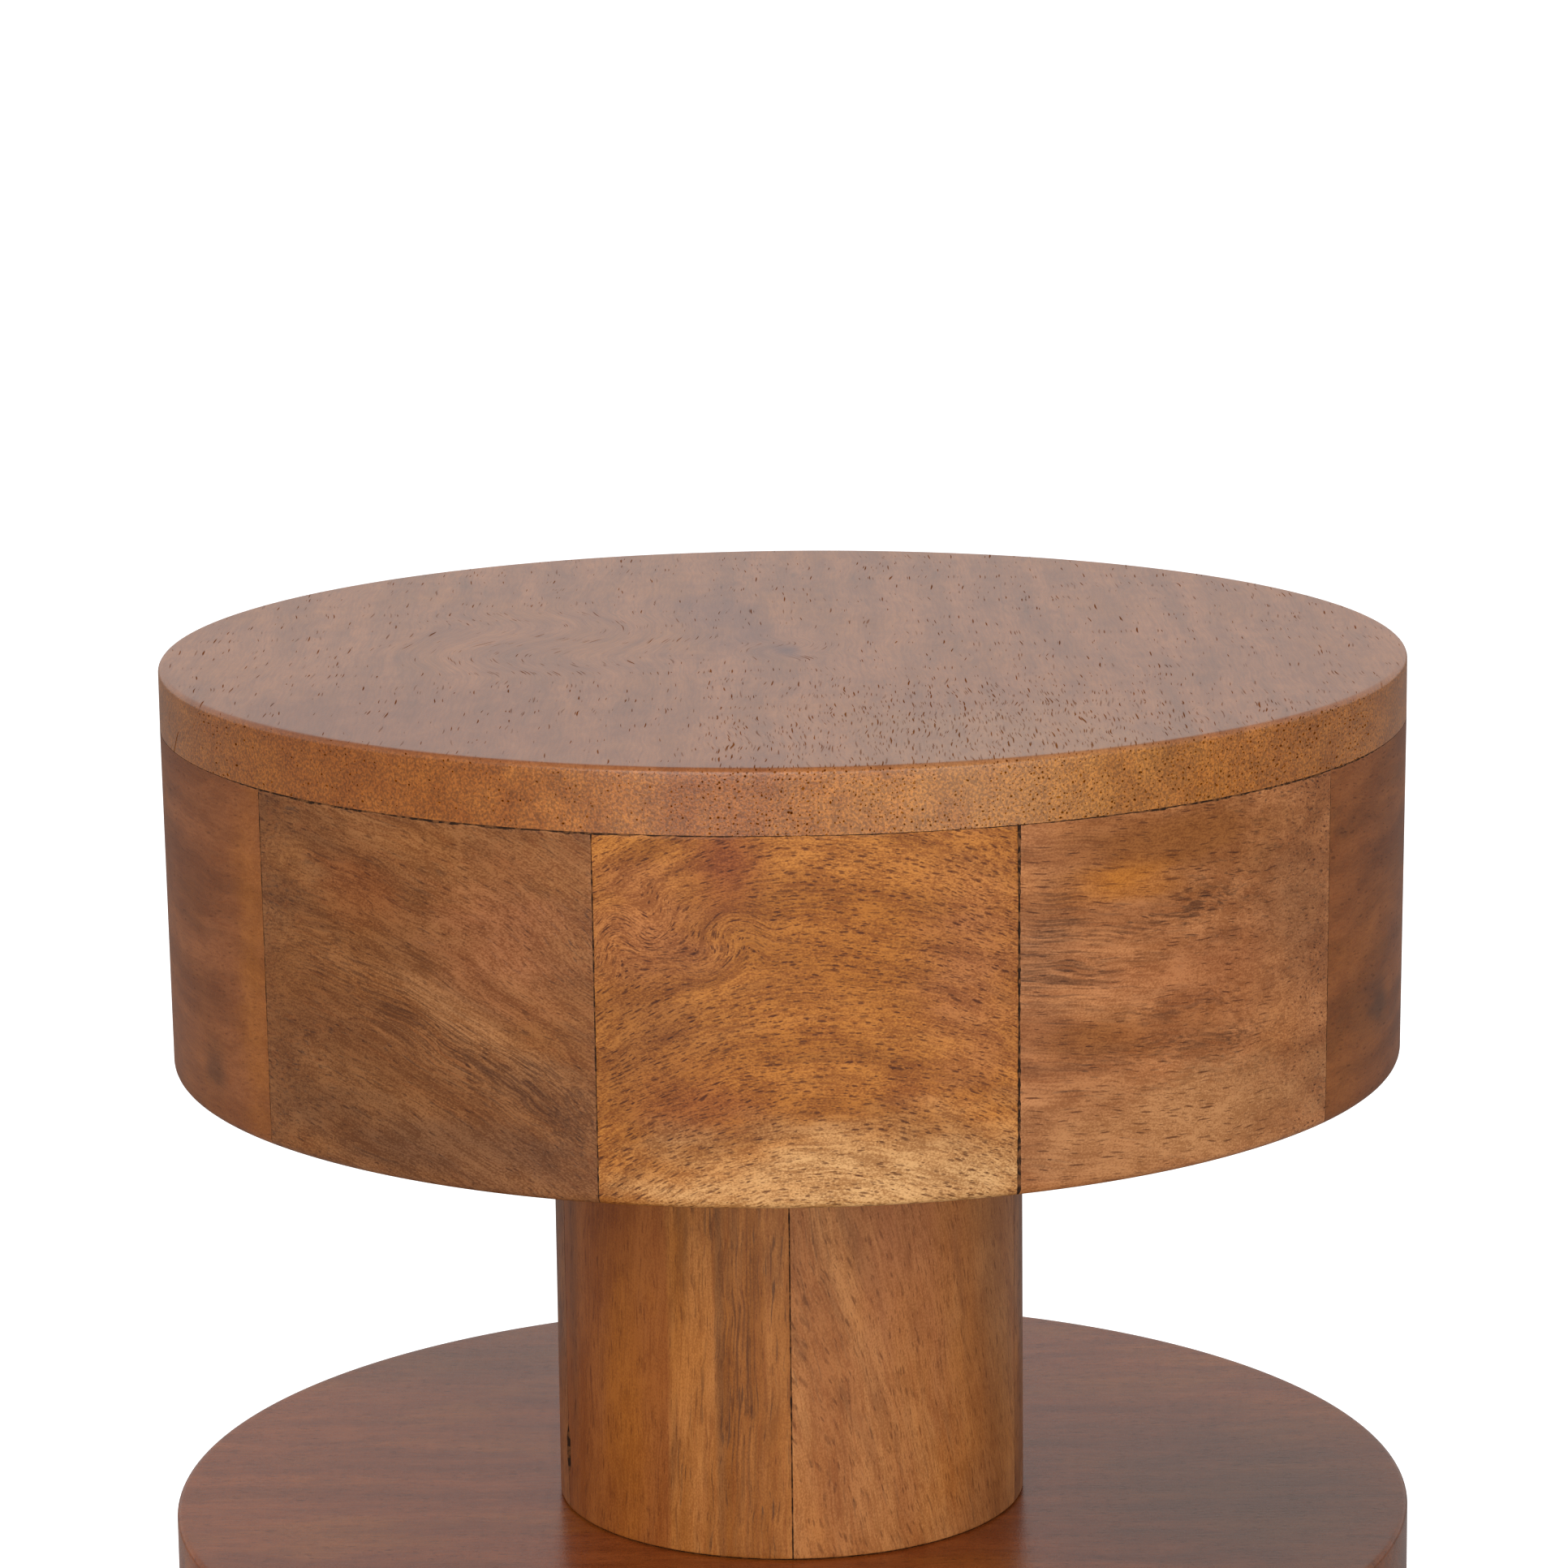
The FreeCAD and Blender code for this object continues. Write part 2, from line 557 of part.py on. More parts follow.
check_document()
os.makedirs("parts", exist_ok=True)
for piece in finished:
    piece.Shape.exportStep(os.path.join("parts", piece.Label + ".step"))
    print(piece.Label, len(piece.Shape.Solids), "solids", round(piece.Shape.Volume / 1000, 2), "cm3")
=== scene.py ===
import logging
import math
from dataclasses import dataclass, field, replace
from enum import Enum

import bmesh
import bpy
from mathutils import Euler, Matrix, Vector, noise


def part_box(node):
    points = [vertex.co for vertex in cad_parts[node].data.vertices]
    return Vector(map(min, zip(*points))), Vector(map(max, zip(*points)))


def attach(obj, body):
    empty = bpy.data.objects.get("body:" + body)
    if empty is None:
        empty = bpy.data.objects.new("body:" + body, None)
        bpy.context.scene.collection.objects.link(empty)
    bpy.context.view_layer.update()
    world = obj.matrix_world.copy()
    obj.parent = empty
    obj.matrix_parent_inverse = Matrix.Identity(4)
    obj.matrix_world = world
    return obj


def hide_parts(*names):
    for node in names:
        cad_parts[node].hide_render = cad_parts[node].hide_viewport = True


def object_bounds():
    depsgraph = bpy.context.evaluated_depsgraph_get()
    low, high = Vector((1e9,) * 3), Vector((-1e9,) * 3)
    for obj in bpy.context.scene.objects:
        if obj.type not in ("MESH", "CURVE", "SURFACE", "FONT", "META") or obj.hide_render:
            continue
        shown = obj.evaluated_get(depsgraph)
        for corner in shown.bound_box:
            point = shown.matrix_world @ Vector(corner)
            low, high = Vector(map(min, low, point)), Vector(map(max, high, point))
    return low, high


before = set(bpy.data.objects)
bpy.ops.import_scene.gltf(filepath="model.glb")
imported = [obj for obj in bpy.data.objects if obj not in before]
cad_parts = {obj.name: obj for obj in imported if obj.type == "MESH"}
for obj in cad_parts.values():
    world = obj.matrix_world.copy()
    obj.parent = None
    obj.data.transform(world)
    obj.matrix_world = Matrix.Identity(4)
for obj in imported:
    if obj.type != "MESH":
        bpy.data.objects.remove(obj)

# Drink table of three stacked drums on two columns, dressed in figured brown hardwood.
# Lengths are metres unless a name ends in mm. Bearings are degrees from the front (-Y), positive to the right.

CAD_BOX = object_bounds()
LOG = logging.getLogger("drink_table")
MM = 0.001
UP = Vector((0, 0, 1))
WHITE = (1.0, 1.0, 1.0, 1.0)
SIDES = ("left", "right")

Colour = tuple[float, float, float, float]
Socket = bpy.types.NodeSocket
Corners = list[Vector]
Faces = list[tuple[int, ...]]
Outline = list[tuple[float, float]]


def tone(red: float, green: float, blue: float) -> Colour:
    """A colour as a screen shows it, 0 to 255, turned into the linear light that shaders work in.

    Args:
        red: Red on the screen.
        green: Green on the screen.
        blue: Blue on the screen.

    Returns:
        Linear red, green, blue and a full alpha.
    """
    def to_linear(level: float) -> float:
        """One channel in linear light."""
        share = level / 255
        return share / 12.92 if share <= 0.04045 else ((share + 0.055) / 1.055) ** 2.4

    return (to_linear(red), to_linear(green), to_linear(blue), 1.0)


def bearing_of(place: Vector) -> float:
    """The bearing of a place about the table's axis, in degrees from the front."""
    return math.degrees(math.atan2(place.x, -place.y))


def at_bearing(radius: float, bearing: float, height: float) -> Vector:
    """The place at a radius, a bearing and a height."""
    angle = math.radians(bearing)
    return Vector((radius * math.sin(angle), -radius * math.cos(angle), height))


# The waves that make a ragged line: pitch in mm, row of the noise and share.
ROUGH_WAVES = ((9.0, 0.3, 0.55), (1.7, 7.7, 0.45), (0.7, 3.1, 0.3))


def rough_line(distance_mm: float, seed: float) -> float:
    """A ragged value from 0 to 1 along a line, like the edge of crumbling filler.

    Args:
        distance_mm: Place along the line.
        seed: Which line it is.

    Returns:
        The value there.
    """
    value = 0.5
    for pitch_mm, row, share in ROUGH_WAVES:
        value += share * noise.noise(Vector((distance_mm / pitch_mm, seed, row)))
    return min(1.0, max(0.0, value))


@dataclass(frozen=True)
class NodeShape:
    """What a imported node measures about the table's axis."""

    inside: float
    outside: float
    low: float
    high: float
    bearing: float
    half_angle: float

    @classmethod
    def of(cls, node: str) -> "NodeShape":
        """Measures a node.

        Args:
            node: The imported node's name.

        Returns:
            Its radii, heights, middle bearing and half the angle it spans, in degrees.
        """
        places = [vertex.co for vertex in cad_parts[node].data.vertices]
        radii = [math.hypot(place.x, place.y) for place in places]
        middle = bearing_of(sum((Vector((p.x, p.y, 0)) for p in places), Vector()))
        turns = [abs((bearing_of(place) - middle + 180) % 360 - 180) for place in places]
        heights = [place.z for place in places]
        return cls(min(radii), max(radii), min(heights), max(heights), middle, max(turns))

    def face_middle(self) -> Vector:
        """The middle of the node's outer face."""
        return at_bearing(self.outside, self.bearing, (self.low + self.high) / 2)


class ShaderNodes:
    """A short way to lay out the nodes of one material."""

    SEED_SHIFT = (3.71, 7.13, 1.37)

    def __init__(self, name: str) -> None:
        """Starts a material with its shader and its output.

        Args:
            name: The material's name.
        """
        self.material = bpy.data.materials.new(name)
        self.material.use_nodes = True
        self.tree = self.material.node_tree
        self.tree.nodes.clear()
        self.shader = self.tree.nodes.new("ShaderNodeBsdfPrincipled")
        self.output = self.tree.nodes.new("ShaderNodeOutputMaterial")
        self.tree.links.new(self.shader.outputs["BSDF"], self.output.inputs["Surface"])

    def feed(self, socket: Socket, value: object) -> None:
        """Links a socket or sets its value.

        Args:
            socket: The socket that is fed.
            value: Another node's output, or a plain value.
        """
        if isinstance(value, Socket):
            self.tree.links.new(value, socket)
        else:
            socket.default_value = value

    def shade(self, name: str, value: object) -> None:
        """Feeds one of the shader's own sockets."""
        self.feed(self.shader.inputs[name], value)

    def add(self, kind: str, **settings: object) -> bpy.types.Node:
        """Adds a node and sets its properties.

        Args:
            kind: The node's type.
            settings: Its properties by name.

        Returns:
            The node.
        """
        node = self.tree.nodes.new(kind)
        for name, value in settings.items():
            setattr(node, name, value)
        return node

    def maths(self, operation: str, first: object, second: object = 0.0) -> Socket:
        """One sum on numbers.

        Args:
            operation: What is done.
            first: The first number.
            second: The second number.

        Returns:
            The result.
        """
        node = self.add("ShaderNodeMath", operation=operation)
        self.feed(node.inputs[0], first)
        self.feed(node.inputs[1], second)
        return node.outputs[0]

    def scaled(self, value: Socket, factor: float, start: float) -> Socket:
        """A number times a factor, added to a start."""
        return self.maths("ADD", self.maths("MULTIPLY", value, factor), start)

    def vectors(self, operation: str, first: object, second: object) -> Socket:
        """One sum on vectors.

        Args:
            operation: What is done.
            first: The first vector.
            second: The second vector.

        Returns:
            The result.
        """
        node = self.add("ShaderNodeVectorMath", operation=operation)
        self.feed(node.inputs[0], first)
        self.feed(node.inputs[1], second)
        return node.outputs[0]

    def length(self, vector: Socket) -> Socket:
        """How long a vector is.

        Args:
            vector: The vector.

        Returns:
            Its length.
        """
        node = self.add("ShaderNodeVectorMath", operation="LENGTH")
        self.feed(node.inputs[0], vector)
        return node.outputs["Value"]

    def turned(self, vector: Socket, angle: object) -> Socket:
        """A vector turned about the third axis.

        Args:
            vector: The vector.
            angle: How far it turns, in radians.

        Returns:
            The turned vector.
        """
        node = self.add("ShaderNodeVectorRotate", rotation_type="Z_AXIS")
        self.feed(node.inputs["Vector"], vector)
        self.feed(node.inputs["Angle"], angle)
        return node.outputs[0]

    def parts(self, vector: Socket) -> tuple[Socket, ...]:
        """The three parts of a vector.

        Args:
            vector: The vector.

        Returns:
            Its parts along x, y and z.
        """
        node = self.add("ShaderNodeSeparateXYZ")
        self.feed(node.inputs[0], vector)
        return tuple(node.outputs)

    def join(self, first: object, second: object, third: object) -> Socket:
        """A vector from three numbers.

        Args:
            first: Its part along x.
            second: Its part along y.
            third: Its part along z.

        Returns:
            The vector.
        """
        node = self.add("ShaderNodeCombineXYZ")
        for socket, value in zip(node.inputs, (first, second, third)):
            self.feed(socket, value)
        return node.outputs[0]

    def place_mm(self) -> Socket:
        """The place on the table in millimetres."""
        source = self.add("ShaderNodeTexCoord")
        return self.vectors("MULTIPLY", source.outputs["Object"], (1 / MM, 1 / MM, 1 / MM))

    def noise(self, place: Socket, sizes_mm: tuple[float, ...], detail: float, seed: float) -> bpy.types.Node:
        """Soft noise whose grains have a size along each axis.

        Args:
            place: Where to read it, in millimetres.
            sizes_mm: The grains' sizes along x, y and z.
            detail: How many finer layers are added.
            seed: Moves the pattern.

        Returns:
            The noise node.
        """
        sized = self.vectors("MULTIPLY", place, tuple(1 / size for size in sizes_mm))
        moved = self.vectors("ADD", sized, tuple(seed * shift for shift in self.SEED_SHIFT))
        node = self.add("ShaderNodeTexNoise")
        self.feed(node.inputs["Vector"], moved)
        node.inputs["Scale"].default_value = 1.0
        node.inputs["Detail"].default_value = detail
        return node

    def step(self, value: object, low: float, high: float) -> Socket:
        """A smooth step; low may lie above high.

        Args:
            value: The number that is looked at.
            low: Where the step is 0.
            high: Where it is 1.

        Returns:
            The step's height.
        """
        node = self.add("ShaderNodeMapRange", interpolation_type="SMOOTHSTEP")
        self.feed(node.inputs["Value"], value)
        down = low > high
        node.inputs["From Min"].default_value = high if down else low
        node.inputs["From Max"].default_value = low if down else high
        node.inputs["To Min"].default_value = 1.0 if down else 0.0
        node.inputs["To Max"].default_value = 0.0 if down else 1.0
        return node.outputs["Result"]

    def mix(self, share: object, first: object, second: object, blend: str = "MIX") -> Socket:
        """Two colours mixed by a share.

        Args:
            share: How much of the second colour is taken.
            first: The first colour.
            second: The second colour.
            blend: How the second colour is laid on the first.

        Returns:
            The mixed colour.
        """
        node = self.add("ShaderNodeMix", data_type="RGBA", blend_type=blend)
        self.feed(node.inputs["Factor"], share)
        colours = [socket for socket in node.inputs if socket.type == "RGBA"]
        self.feed(colours[0], first)
        self.feed(colours[1], second)
        return [socket for socket in node.outputs if socket.type == "RGBA"][0]

    def bump(self, height: Socket, depth: float, strength: float = 1.0) -> None:
        """Roughens the shader's surface.

        Args:
            height: The height over the surface, as a share of the depth.
            depth: How deep the roughness is.
            strength: How much of it shows.
        """
        node = self.add("ShaderNodeBump")
        node.inputs["Strength"].default_value = strength
        node.inputs["Distance"].default_value = depth
        self.feed(node.inputs["Height"], height)
        self.shade("Normal", node.outputs["Normal"])


class Stain(Enum):
    """The colours that patches of figure take."""

    AMBER = tone(180, 108, 36)
    RUST = tone(142, 74, 30)
    UMBER = tone(84, 54, 36)
    SMOKE = tone(108, 71, 48)
    OLIVE = tone(128, 81, 43)
    BROWN = tone(142, 84, 36)
    ROSE = tone(170, 104, 66)
    TAN = tone(186, 128, 80)
    SAP = tone(216, 166, 110)
    HAIR = tone(92, 54, 30)
    PLUM = tone(116, 62, 50)


class Figure(Enum):
    """Layers of noise in the wood: sizes along, across and out in mm, finer layers, and a step of the seed."""

    SWAY = ((60.0, 34.0, 34.0), 2.0, 0)
    AMBER = ((40.0, 22.0, 22.0), 2.0, 2)
    FLAMES = ((30.0, 3.6, 3.6), 4.0, 3)
    SHADOW = ((40.0, 24.0, 24.0), 1.0, 4)
    STREAKS = ((24.0, 0.75, 0.75), 2.0, 5)
    CROWD = ((24.0, 12.0, 12.0), 2.0, 6)
    GROWTH = ((45.0, 0.95, 0.95), 1.0, 7)
    FIBRE = ((10.0, 0.55, 0.55), 1.5, 11)
    # Fine flecks: dark dots in the wood, and light specks that are painted lacquer glints.
    FLECK_AND_GLINT = ((0.55, 0.36, 0.36), 1.0, 12)
    CLOUD = ((9.0, 4.5, 4.5), 3.0, 13)
    RIPPLE = ((13.0, 6.0, 6.0), 1.0, 15)
    HAIRS = ((34.0, 0.62, 0.62), 2.0, 16)
    SPECK = ((0.6, 0.6, 0.6), 3.0, 17)
    RAGGED = ((22.0, 7.0, 7.0), 3.0, 20)


# Growth layers: their length along the fibres, their finer layers and their step of the seed.
LAYER_LENGTH_MM, LAYER_DETAIL, LAYER_SEED = 90.0, 3.0, 1

# Where a layer of noise, or the way a surface looks, rises from 0 to 1.
LAYER_RISE = (0.34, 0.66)
AMBER_RISE = (0.46, 0.70)
CALM_RISE = (0.72, 0.36)
FLAME_RISE = (0.46, 0.72)
SHADOW_RISE = (0.42, 0.62)
STREAK_RISE = (0.58, 0.69)
GROWTH_RISE = (0.52, 0.68)
HAIR_RISE = (0.44, 0.62)
MARK_RISE = (0.48, 0.76)
SPECK_RISE = (0.38, 0.62)
CROWD_RISE = (0.25, 0.72)
END_CROWD_RISE = (0.2, 0.6)
END_GRAIN_RISE = (0.34, 0.50)
EDGE_RISE = (0.8, 0.2)
CLOSED_RISE = (0.45, 0.0)

# Fine marks: how much each layer counts, and what they take from and add to the colour; the flecks' light specks are
# painted lacquer glints, their dark specks dark dots in the wood.
FIBRE_SHARE, FLECK_AND_GLINT_SHARE, CLOUD_SHARE = 0.38, 0.50, 0.36
MARK_LOSS = (0.32, 0.42, 0.54, 0.0)
MARK_GAIN = (0.24, 0.30, 0.36, 0.0)
SPECK_SHADES = (0.70, 1.26)

# Pores: the colour they leave, the share of dashes in sparse areas, two sets of dashes (shares of their length and
# width, and a shift), how far dashes lean with depth, and the sizes of dashes and dots in their cells.
PORE_SHADE = (0.22, 0.13, 0.07, 1.0)
SPARSE_SHARE = 0.4
DASH_SETS = ((1.0, 1.0, 0.0), (0.72, 0.85, 13.7))
DASH_LEAN = 0.35
DASH_RADIUS, DOT_RADIUS = 0.19, 0.17
DOT_SPREAD_MM = 1.2
DOT_SIZES = (0.65, 0.9)
DOT_DARKNESS = (0.5, 0.5)
DOT_RIM = (1.15, 0.5)

# How far the lacquer's roughness strays, and how deep and strong its bump is.
ROUGH_SPREAD = 0.12
LACQUER_DEPTH, LACQUER_STRENGTH = 0.07 * MM, 0.5


@dataclass(frozen=True)
class Patch:
    """A soft patch of another colour on a board: its middle, its half sizes, its strength and its turn."""

    stain: Stain
    along_mm: float
    across_mm: float
    half_along_mm: float
    half_across_mm: float
    strength: float
    turn: float = 0.0
    softness: float = 0.9
    ragged: float = 1.6
    hairy: bool = False


@dataclass(frozen=True)
class Whorl:
    """A place where the grain curls: its middle, how far it reaches and how much it turns."""

    along_mm: float
    across_mm: float
    reach_mm: float
    twist: float


@dataclass(frozen=True)
class Board:
    """Where a board lies: its middle, the way its fibres run and the way its face looks."""

    middle: Vector
    fibres: Vector
    face: Vector

    def rotation(self) -> Euler:
        """The turn that takes the table's axes to the board's: along, across and out of the face.

        Returns:
            The turn.
        """
        along = self.fibres.normalized()
        out = (self.face - along * self.face.dot(along)).normalized()
        return Matrix((along, out.cross(along), out)).transposed().to_euler()


@dataclass(frozen=True)
class WoodFinish:
    """A lacquered hardwood board: its ground tones, the run of its grain, its pores and its patches."""

    pale: Colour = tone(184, 128, 80)
    deep: Colour = tone(146, 90, 48)
    seed: float = 0.0
    slope: float = 0.0
    arch_per_mm: float = 0.0
    arch_middle_mm: float = 0.0
    plan_turn: float = 0.0
    sway_mm: float = 5.0
    ripple_mm: float = 0.5
    layer_mm: float = 9.0
    amber: float = 0.35
    umber: float = 0.3
    streaks: float = 0.3
    curl: float = 0.25
    pores: float = 0.6
    pore_length_mm: float = 5.2
    pore_width_mm: float = 1.15
    pore_depth: float = 0.8
    end_pores: float = 0.5
    open_pores: bool = False
    pore_field: Patch | None = None
    mottle: float = 0.8
    edge_tint: Colour = WHITE
    roughness: float = 0.44
    specular: float = 0.28
    patches: tuple[Patch, ...] = ()
    whorls: tuple[Whorl, ...] = ()

    def material(self, name: str, board: Board) -> bpy.types.Material:
        """Makes the board's material.

        Args:
            name: The material's name.
            board: Where the board lies, which places its grain.

        Returns:
            The material.
        """
        nodes = ShaderNodes(name)
        place = self._board_place(nodes, board)
        grain = self._grain(nodes, place)
        colour = self._ground(nodes, place, grain)
        ragged = self._layer(nodes, place, Figure.RAGGED) if self.patches else None
        hairs = None
        if any(patch.hairy for patch in self.patches):
            hairs = nodes.step(self._layer(nodes, grain, Figure.HAIRS), *HAIR_RISE)
        for patch in self.patches:
            share = self._patch_share(nodes, place, patch, ragged)
            if patch.hairy:
                share = nodes.maths("MULTIPLY", share, hairs)
            colour = nodes.mix(share, colour, patch.stain.value)
        fibre = self._layer(nodes, grain, Figure.FIBRE)
        fleck_and_glint = self._layer(nodes, place, Figure.FLECK_AND_GLINT)
        # The flecks' light specks in the colour are painted lacquer glints.
        colour = self._marked(nodes, colour, grain, fibre, fleck_and_glint)
        pores = self._pores(nodes, place, grain, board, ragged)
        colour = nodes.mix(1.0, colour, nodes.mix(pores, WHITE, PORE_SHADE), "MULTIPLY")
        if self.edge_tint != WHITE:
            colour = self._edged(nodes, colour, place, board)
        nodes.shade("Base Color", colour)
        self._lacquer(nodes, fibre, fleck_and_glint, pores)
        return nodes.material

    def _layer(self, nodes: ShaderNodes, place: Socket, figure: Figure, output: str = "Fac") -> Socket:
        """One of the wood's layers of noise, read at a place in millimetres."""
        sizes_mm, detail, seed_step = figure.value
        return nodes.noise(place, sizes_mm, detail, self.seed + seed_step).outputs[output]

    def _board_place(self, nodes: ShaderNodes, board: Board) -> Socket:
        """The place on the board in millimetres: along, across and out.

        Args:
            nodes: The material's nodes.
            board: Where the board lies.

        Returns:
            The place.
        """
        source = nodes.add("ShaderNodeTexCoord")
        mapping = nodes.add("ShaderNodeMapping", vector_type="TEXTURE")
        nodes.feed(mapping.inputs["Vector"], source.outputs["Object"])
        mapping.inputs["Location"].default_value = board.middle
        mapping.inputs["Rotation"].default_value = board.rotation()
        mapping.inputs["Scale"].default_value = (MM, MM, MM)
        return mapping.outputs["Vector"]

    def _grain(self, nodes: ShaderNodes, place: Socket) -> Socket:
        """The place with the grain's sway, ripple, whorls, slope and arch taken out.

        Args:
            nodes: The material's nodes.
            place: The place on the board.

        Returns:
            The place in a grain whose fibres run along x.
        """
        moved = place
        for figure, reach in ((Figure.SWAY, (self.sway_mm, 2 * self.sway_mm, 2 * self.sway_mm)),
                              (Figure.RIPPLE, (0.0, 4 * self.ripple_mm, 4 * self.ripple_mm))):
            wave = nodes.vectors("SUBTRACT", self._layer(nodes, place, figure, "Color"), (0.5, 0.5, 0.5))
            moved = nodes.vectors("ADD", moved, nodes.vectors("MULTIPLY", wave, reach))
        for whorl in self.whorls:
            moved = self._whorled(nodes, moved, whorl)
        along, across, out = nodes.parts(moved)
        sloped = nodes.maths("ADD", across, nodes.maths("MULTIPLY", along, math.tan(math.radians(self.slope))))
        if self.arch_per_mm:
            off = nodes.maths("SUBTRACT", along, self.arch_middle_mm)
            rise = nodes.maths("MULTIPLY", nodes.maths("MULTIPLY", off, off), self.arch_per_mm)
            sloped = nodes.maths("ADD", sloped, rise)
        return nodes.join(along, sloped, out)

    def _whorled(self, nodes: ShaderNodes, place: Socket, whorl: Whorl) -> Socket:
        """The place turned about a whorl's middle, most in its middle and not at all at its reach.

        Args:
            nodes: The material's nodes.
            place: The place on the board.
            whorl: The whorl.

        Returns:
            The turned place.
        """
        middle = (whorl.along_mm, whorl.across_mm, 0.0)
        off = nodes.vectors("SUBTRACT", place, middle)
        distance = nodes.length(nodes.vectors("MULTIPLY", off, (1.0, 1.0, 0.0)))
        near = nodes.step(distance, whorl.reach_mm, 0.0)
        turn = nodes.maths("MULTIPLY", near, math.radians(whorl.twist))
        return nodes.vectors("ADD", nodes.turned(off, turn), middle)

    def _ground(self, nodes: ShaderNodes, place: Socket, grain: Socket) -> Socket:
        """The board's main colour: growth layers, amber clouds, dark flames, streaks and fine growth lines.

        Args:
            nodes: The material's nodes.
            place: The place on the board.
            grain: The place in the grain.

        Returns:
            The colour.
        """
        sizes_mm = (LAYER_LENGTH_MM, self.layer_mm, self.layer_mm)
        layer = nodes.noise(grain, sizes_mm, LAYER_DETAIL, self.seed + LAYER_SEED).outputs["Fac"]
        colour = nodes.mix(nodes.step(layer, *LAYER_RISE), self.deep, self.pale)
        cloud = self._layer(nodes, place, Figure.AMBER)
        amber = nodes.maths("MULTIPLY", nodes.step(cloud, *AMBER_RISE), self.amber)
        colour = nodes.mix(amber, colour, Stain.AMBER.value)
        flame = nodes.step(self._layer(nodes, grain, Figure.FLAMES), *FLAME_RISE)
        shadow = nodes.step(self._layer(nodes, place, Figure.SHADOW), *SHADOW_RISE)
        umber = nodes.maths("MULTIPLY", nodes.maths("MULTIPLY", flame, shadow), self.umber)
        colour = nodes.mix(umber, colour, Stain.UMBER.value)
        line = nodes.step(self._layer(nodes, grain, Figure.STREAKS), *STREAK_RISE)
        streak = nodes.maths("MULTIPLY", line, nodes.step(cloud, *CALM_RISE))
        colour = nodes.mix(nodes.maths("MULTIPLY", streak, self.streaks), colour, Stain.UMBER.value)
        growth = nodes.step(self._layer(nodes, grain, Figure.GROWTH), *GROWTH_RISE)
        return nodes.mix(nodes.maths("MULTIPLY", growth, self.curl), colour, Stain.RUST.value)

    def _patch_share(self, nodes: ShaderNodes, place: Socket, patch: Patch, ragged: Socket) -> Socket:
        """How much of a patch is at a place.

        Args:
            nodes: The material's nodes.
            place: The place on the board.
            patch: The patch.
            ragged: Noise that frays the patch's rim.

        Returns:
            The share, from 0 outside the patch to its strength in its middle.
        """
        off = nodes.vectors("SUBTRACT", place, (patch.along_mm, patch.across_mm, 0.0))
        if patch.turn:
            off = nodes.turned(off, math.radians(-patch.turn))
        sized = nodes.vectors("MULTIPLY", off, (1 / patch.half_along_mm, 1 / patch.half_across_mm, 0.0))
        wobble = nodes.maths("MULTIPLY", nodes.maths("SUBTRACT", ragged, 0.5), patch.ragged)
        reach = nodes.maths("ADD", nodes.length(sized), wobble)
        near = nodes.step(reach, 1.0 + patch.softness / 2, 1.0 - patch.softness)
        return nodes.maths("MULTIPLY", near, patch.strength)

    def _marked(self, nodes: ShaderNodes, colour: Socket, grain: Socket, fibre: Socket, fleck_and_glint: Socket) -> Socket:
        """The colour with fine fibres, flecks and small clouds in it; the flecks are dark dots in the wood and
        painted lacquer glints.

        Args:
            nodes: The material's nodes.
            colour: The colour so far.
            grain: The place in the grain.
            fibre: The layer of fibres.
            fleck_and_glint: The layer of flecks, whose light specks are painted lacquer glints.

        Returns:
            The marked colour.
        """
        marks = nodes.maths("MULTIPLY", fibre, FIBRE_SHARE)
        cloud = self._layer(nodes, grain, Figure.CLOUD)
        for layer, share in ((fleck_and_glint, FLECK_AND_GLINT_SHARE), (cloud, CLOUD_SHARE)):
            marks = nodes.maths("ADD", marks, nodes.maths("MULTIPLY", layer, share))
        dim = tuple(1 - self.mottle * loss for loss in MARK_LOSS)
        bright = tuple(1 + self.mottle * gain for gain in MARK_GAIN)
        tint = nodes.mix(nodes.step(marks, *MARK_RISE), dim, bright)
        return nodes.mix(1.0, colour, tint, "MULTIPLY")

    def _pores(self, nodes: ShaderNodes, place: Socket, grain: Socket, board: Board, ragged: Socket | None) -> Socket:
        """How much of a pore is at a place: dashes along the fibres, dots where the fibres end.

        Args:
            nodes: The material's nodes.
            place: The place on the board.
            grain: The place in the grain.
            board: Where the board lies.
            ragged: Noise that frays the field of pores, where the finish has one.

        Returns:
            The pores, from 0 between them to 1 in the deepest.
        """
        along, across, out = nodes.parts(grain)
        crowd = self._layer(nodes, place, Figure.CROWD)
        wanted = nodes.scaled(nodes.step(crowd, *CROWD_RISE), self.pores, self.pores * SPARSE_SHARE)
        if self.pore_field:
            wanted = nodes.maths("ADD", wanted, self._patch_share(nodes, place, self.pore_field, ragged))
        dashes = []
        for long, wide, shift in DASH_SETS:
            u = nodes.scaled(along, 1 / (self.pore_length_mm * long), shift + self.seed)
            v = nodes.scaled(across, 1 / (self.pore_width_mm * wide), nodes.maths("MULTIPLY", out, DASH_LEAN))
            dashes.append(self._dots(nodes, nodes.join(u, v, 0.0), wanted, DASH_RADIUS))
        u, v = (nodes.maths("MULTIPLY", part, 1 / DOT_SPREAD_MM) for part in (across, out))
        filled = nodes.maths("MULTIPLY", nodes.step(crowd, *END_CROWD_RISE), self.end_pores)
        dots = self._dots(nodes, nodes.join(u, v, 0.0), filled, DOT_RADIUS)
        end = nodes.step(nodes.maths("ABSOLUTE", self._facing(nodes, board.fibres)), *END_GRAIN_RISE)
        kept = nodes.maths("MULTIPLY", nodes.maths("MAXIMUM", *dashes), nodes.maths("SUBTRACT", 1.0, end))
        return nodes.scaled(kept, self.pore_depth, nodes.maths("MULTIPLY", dots, end))

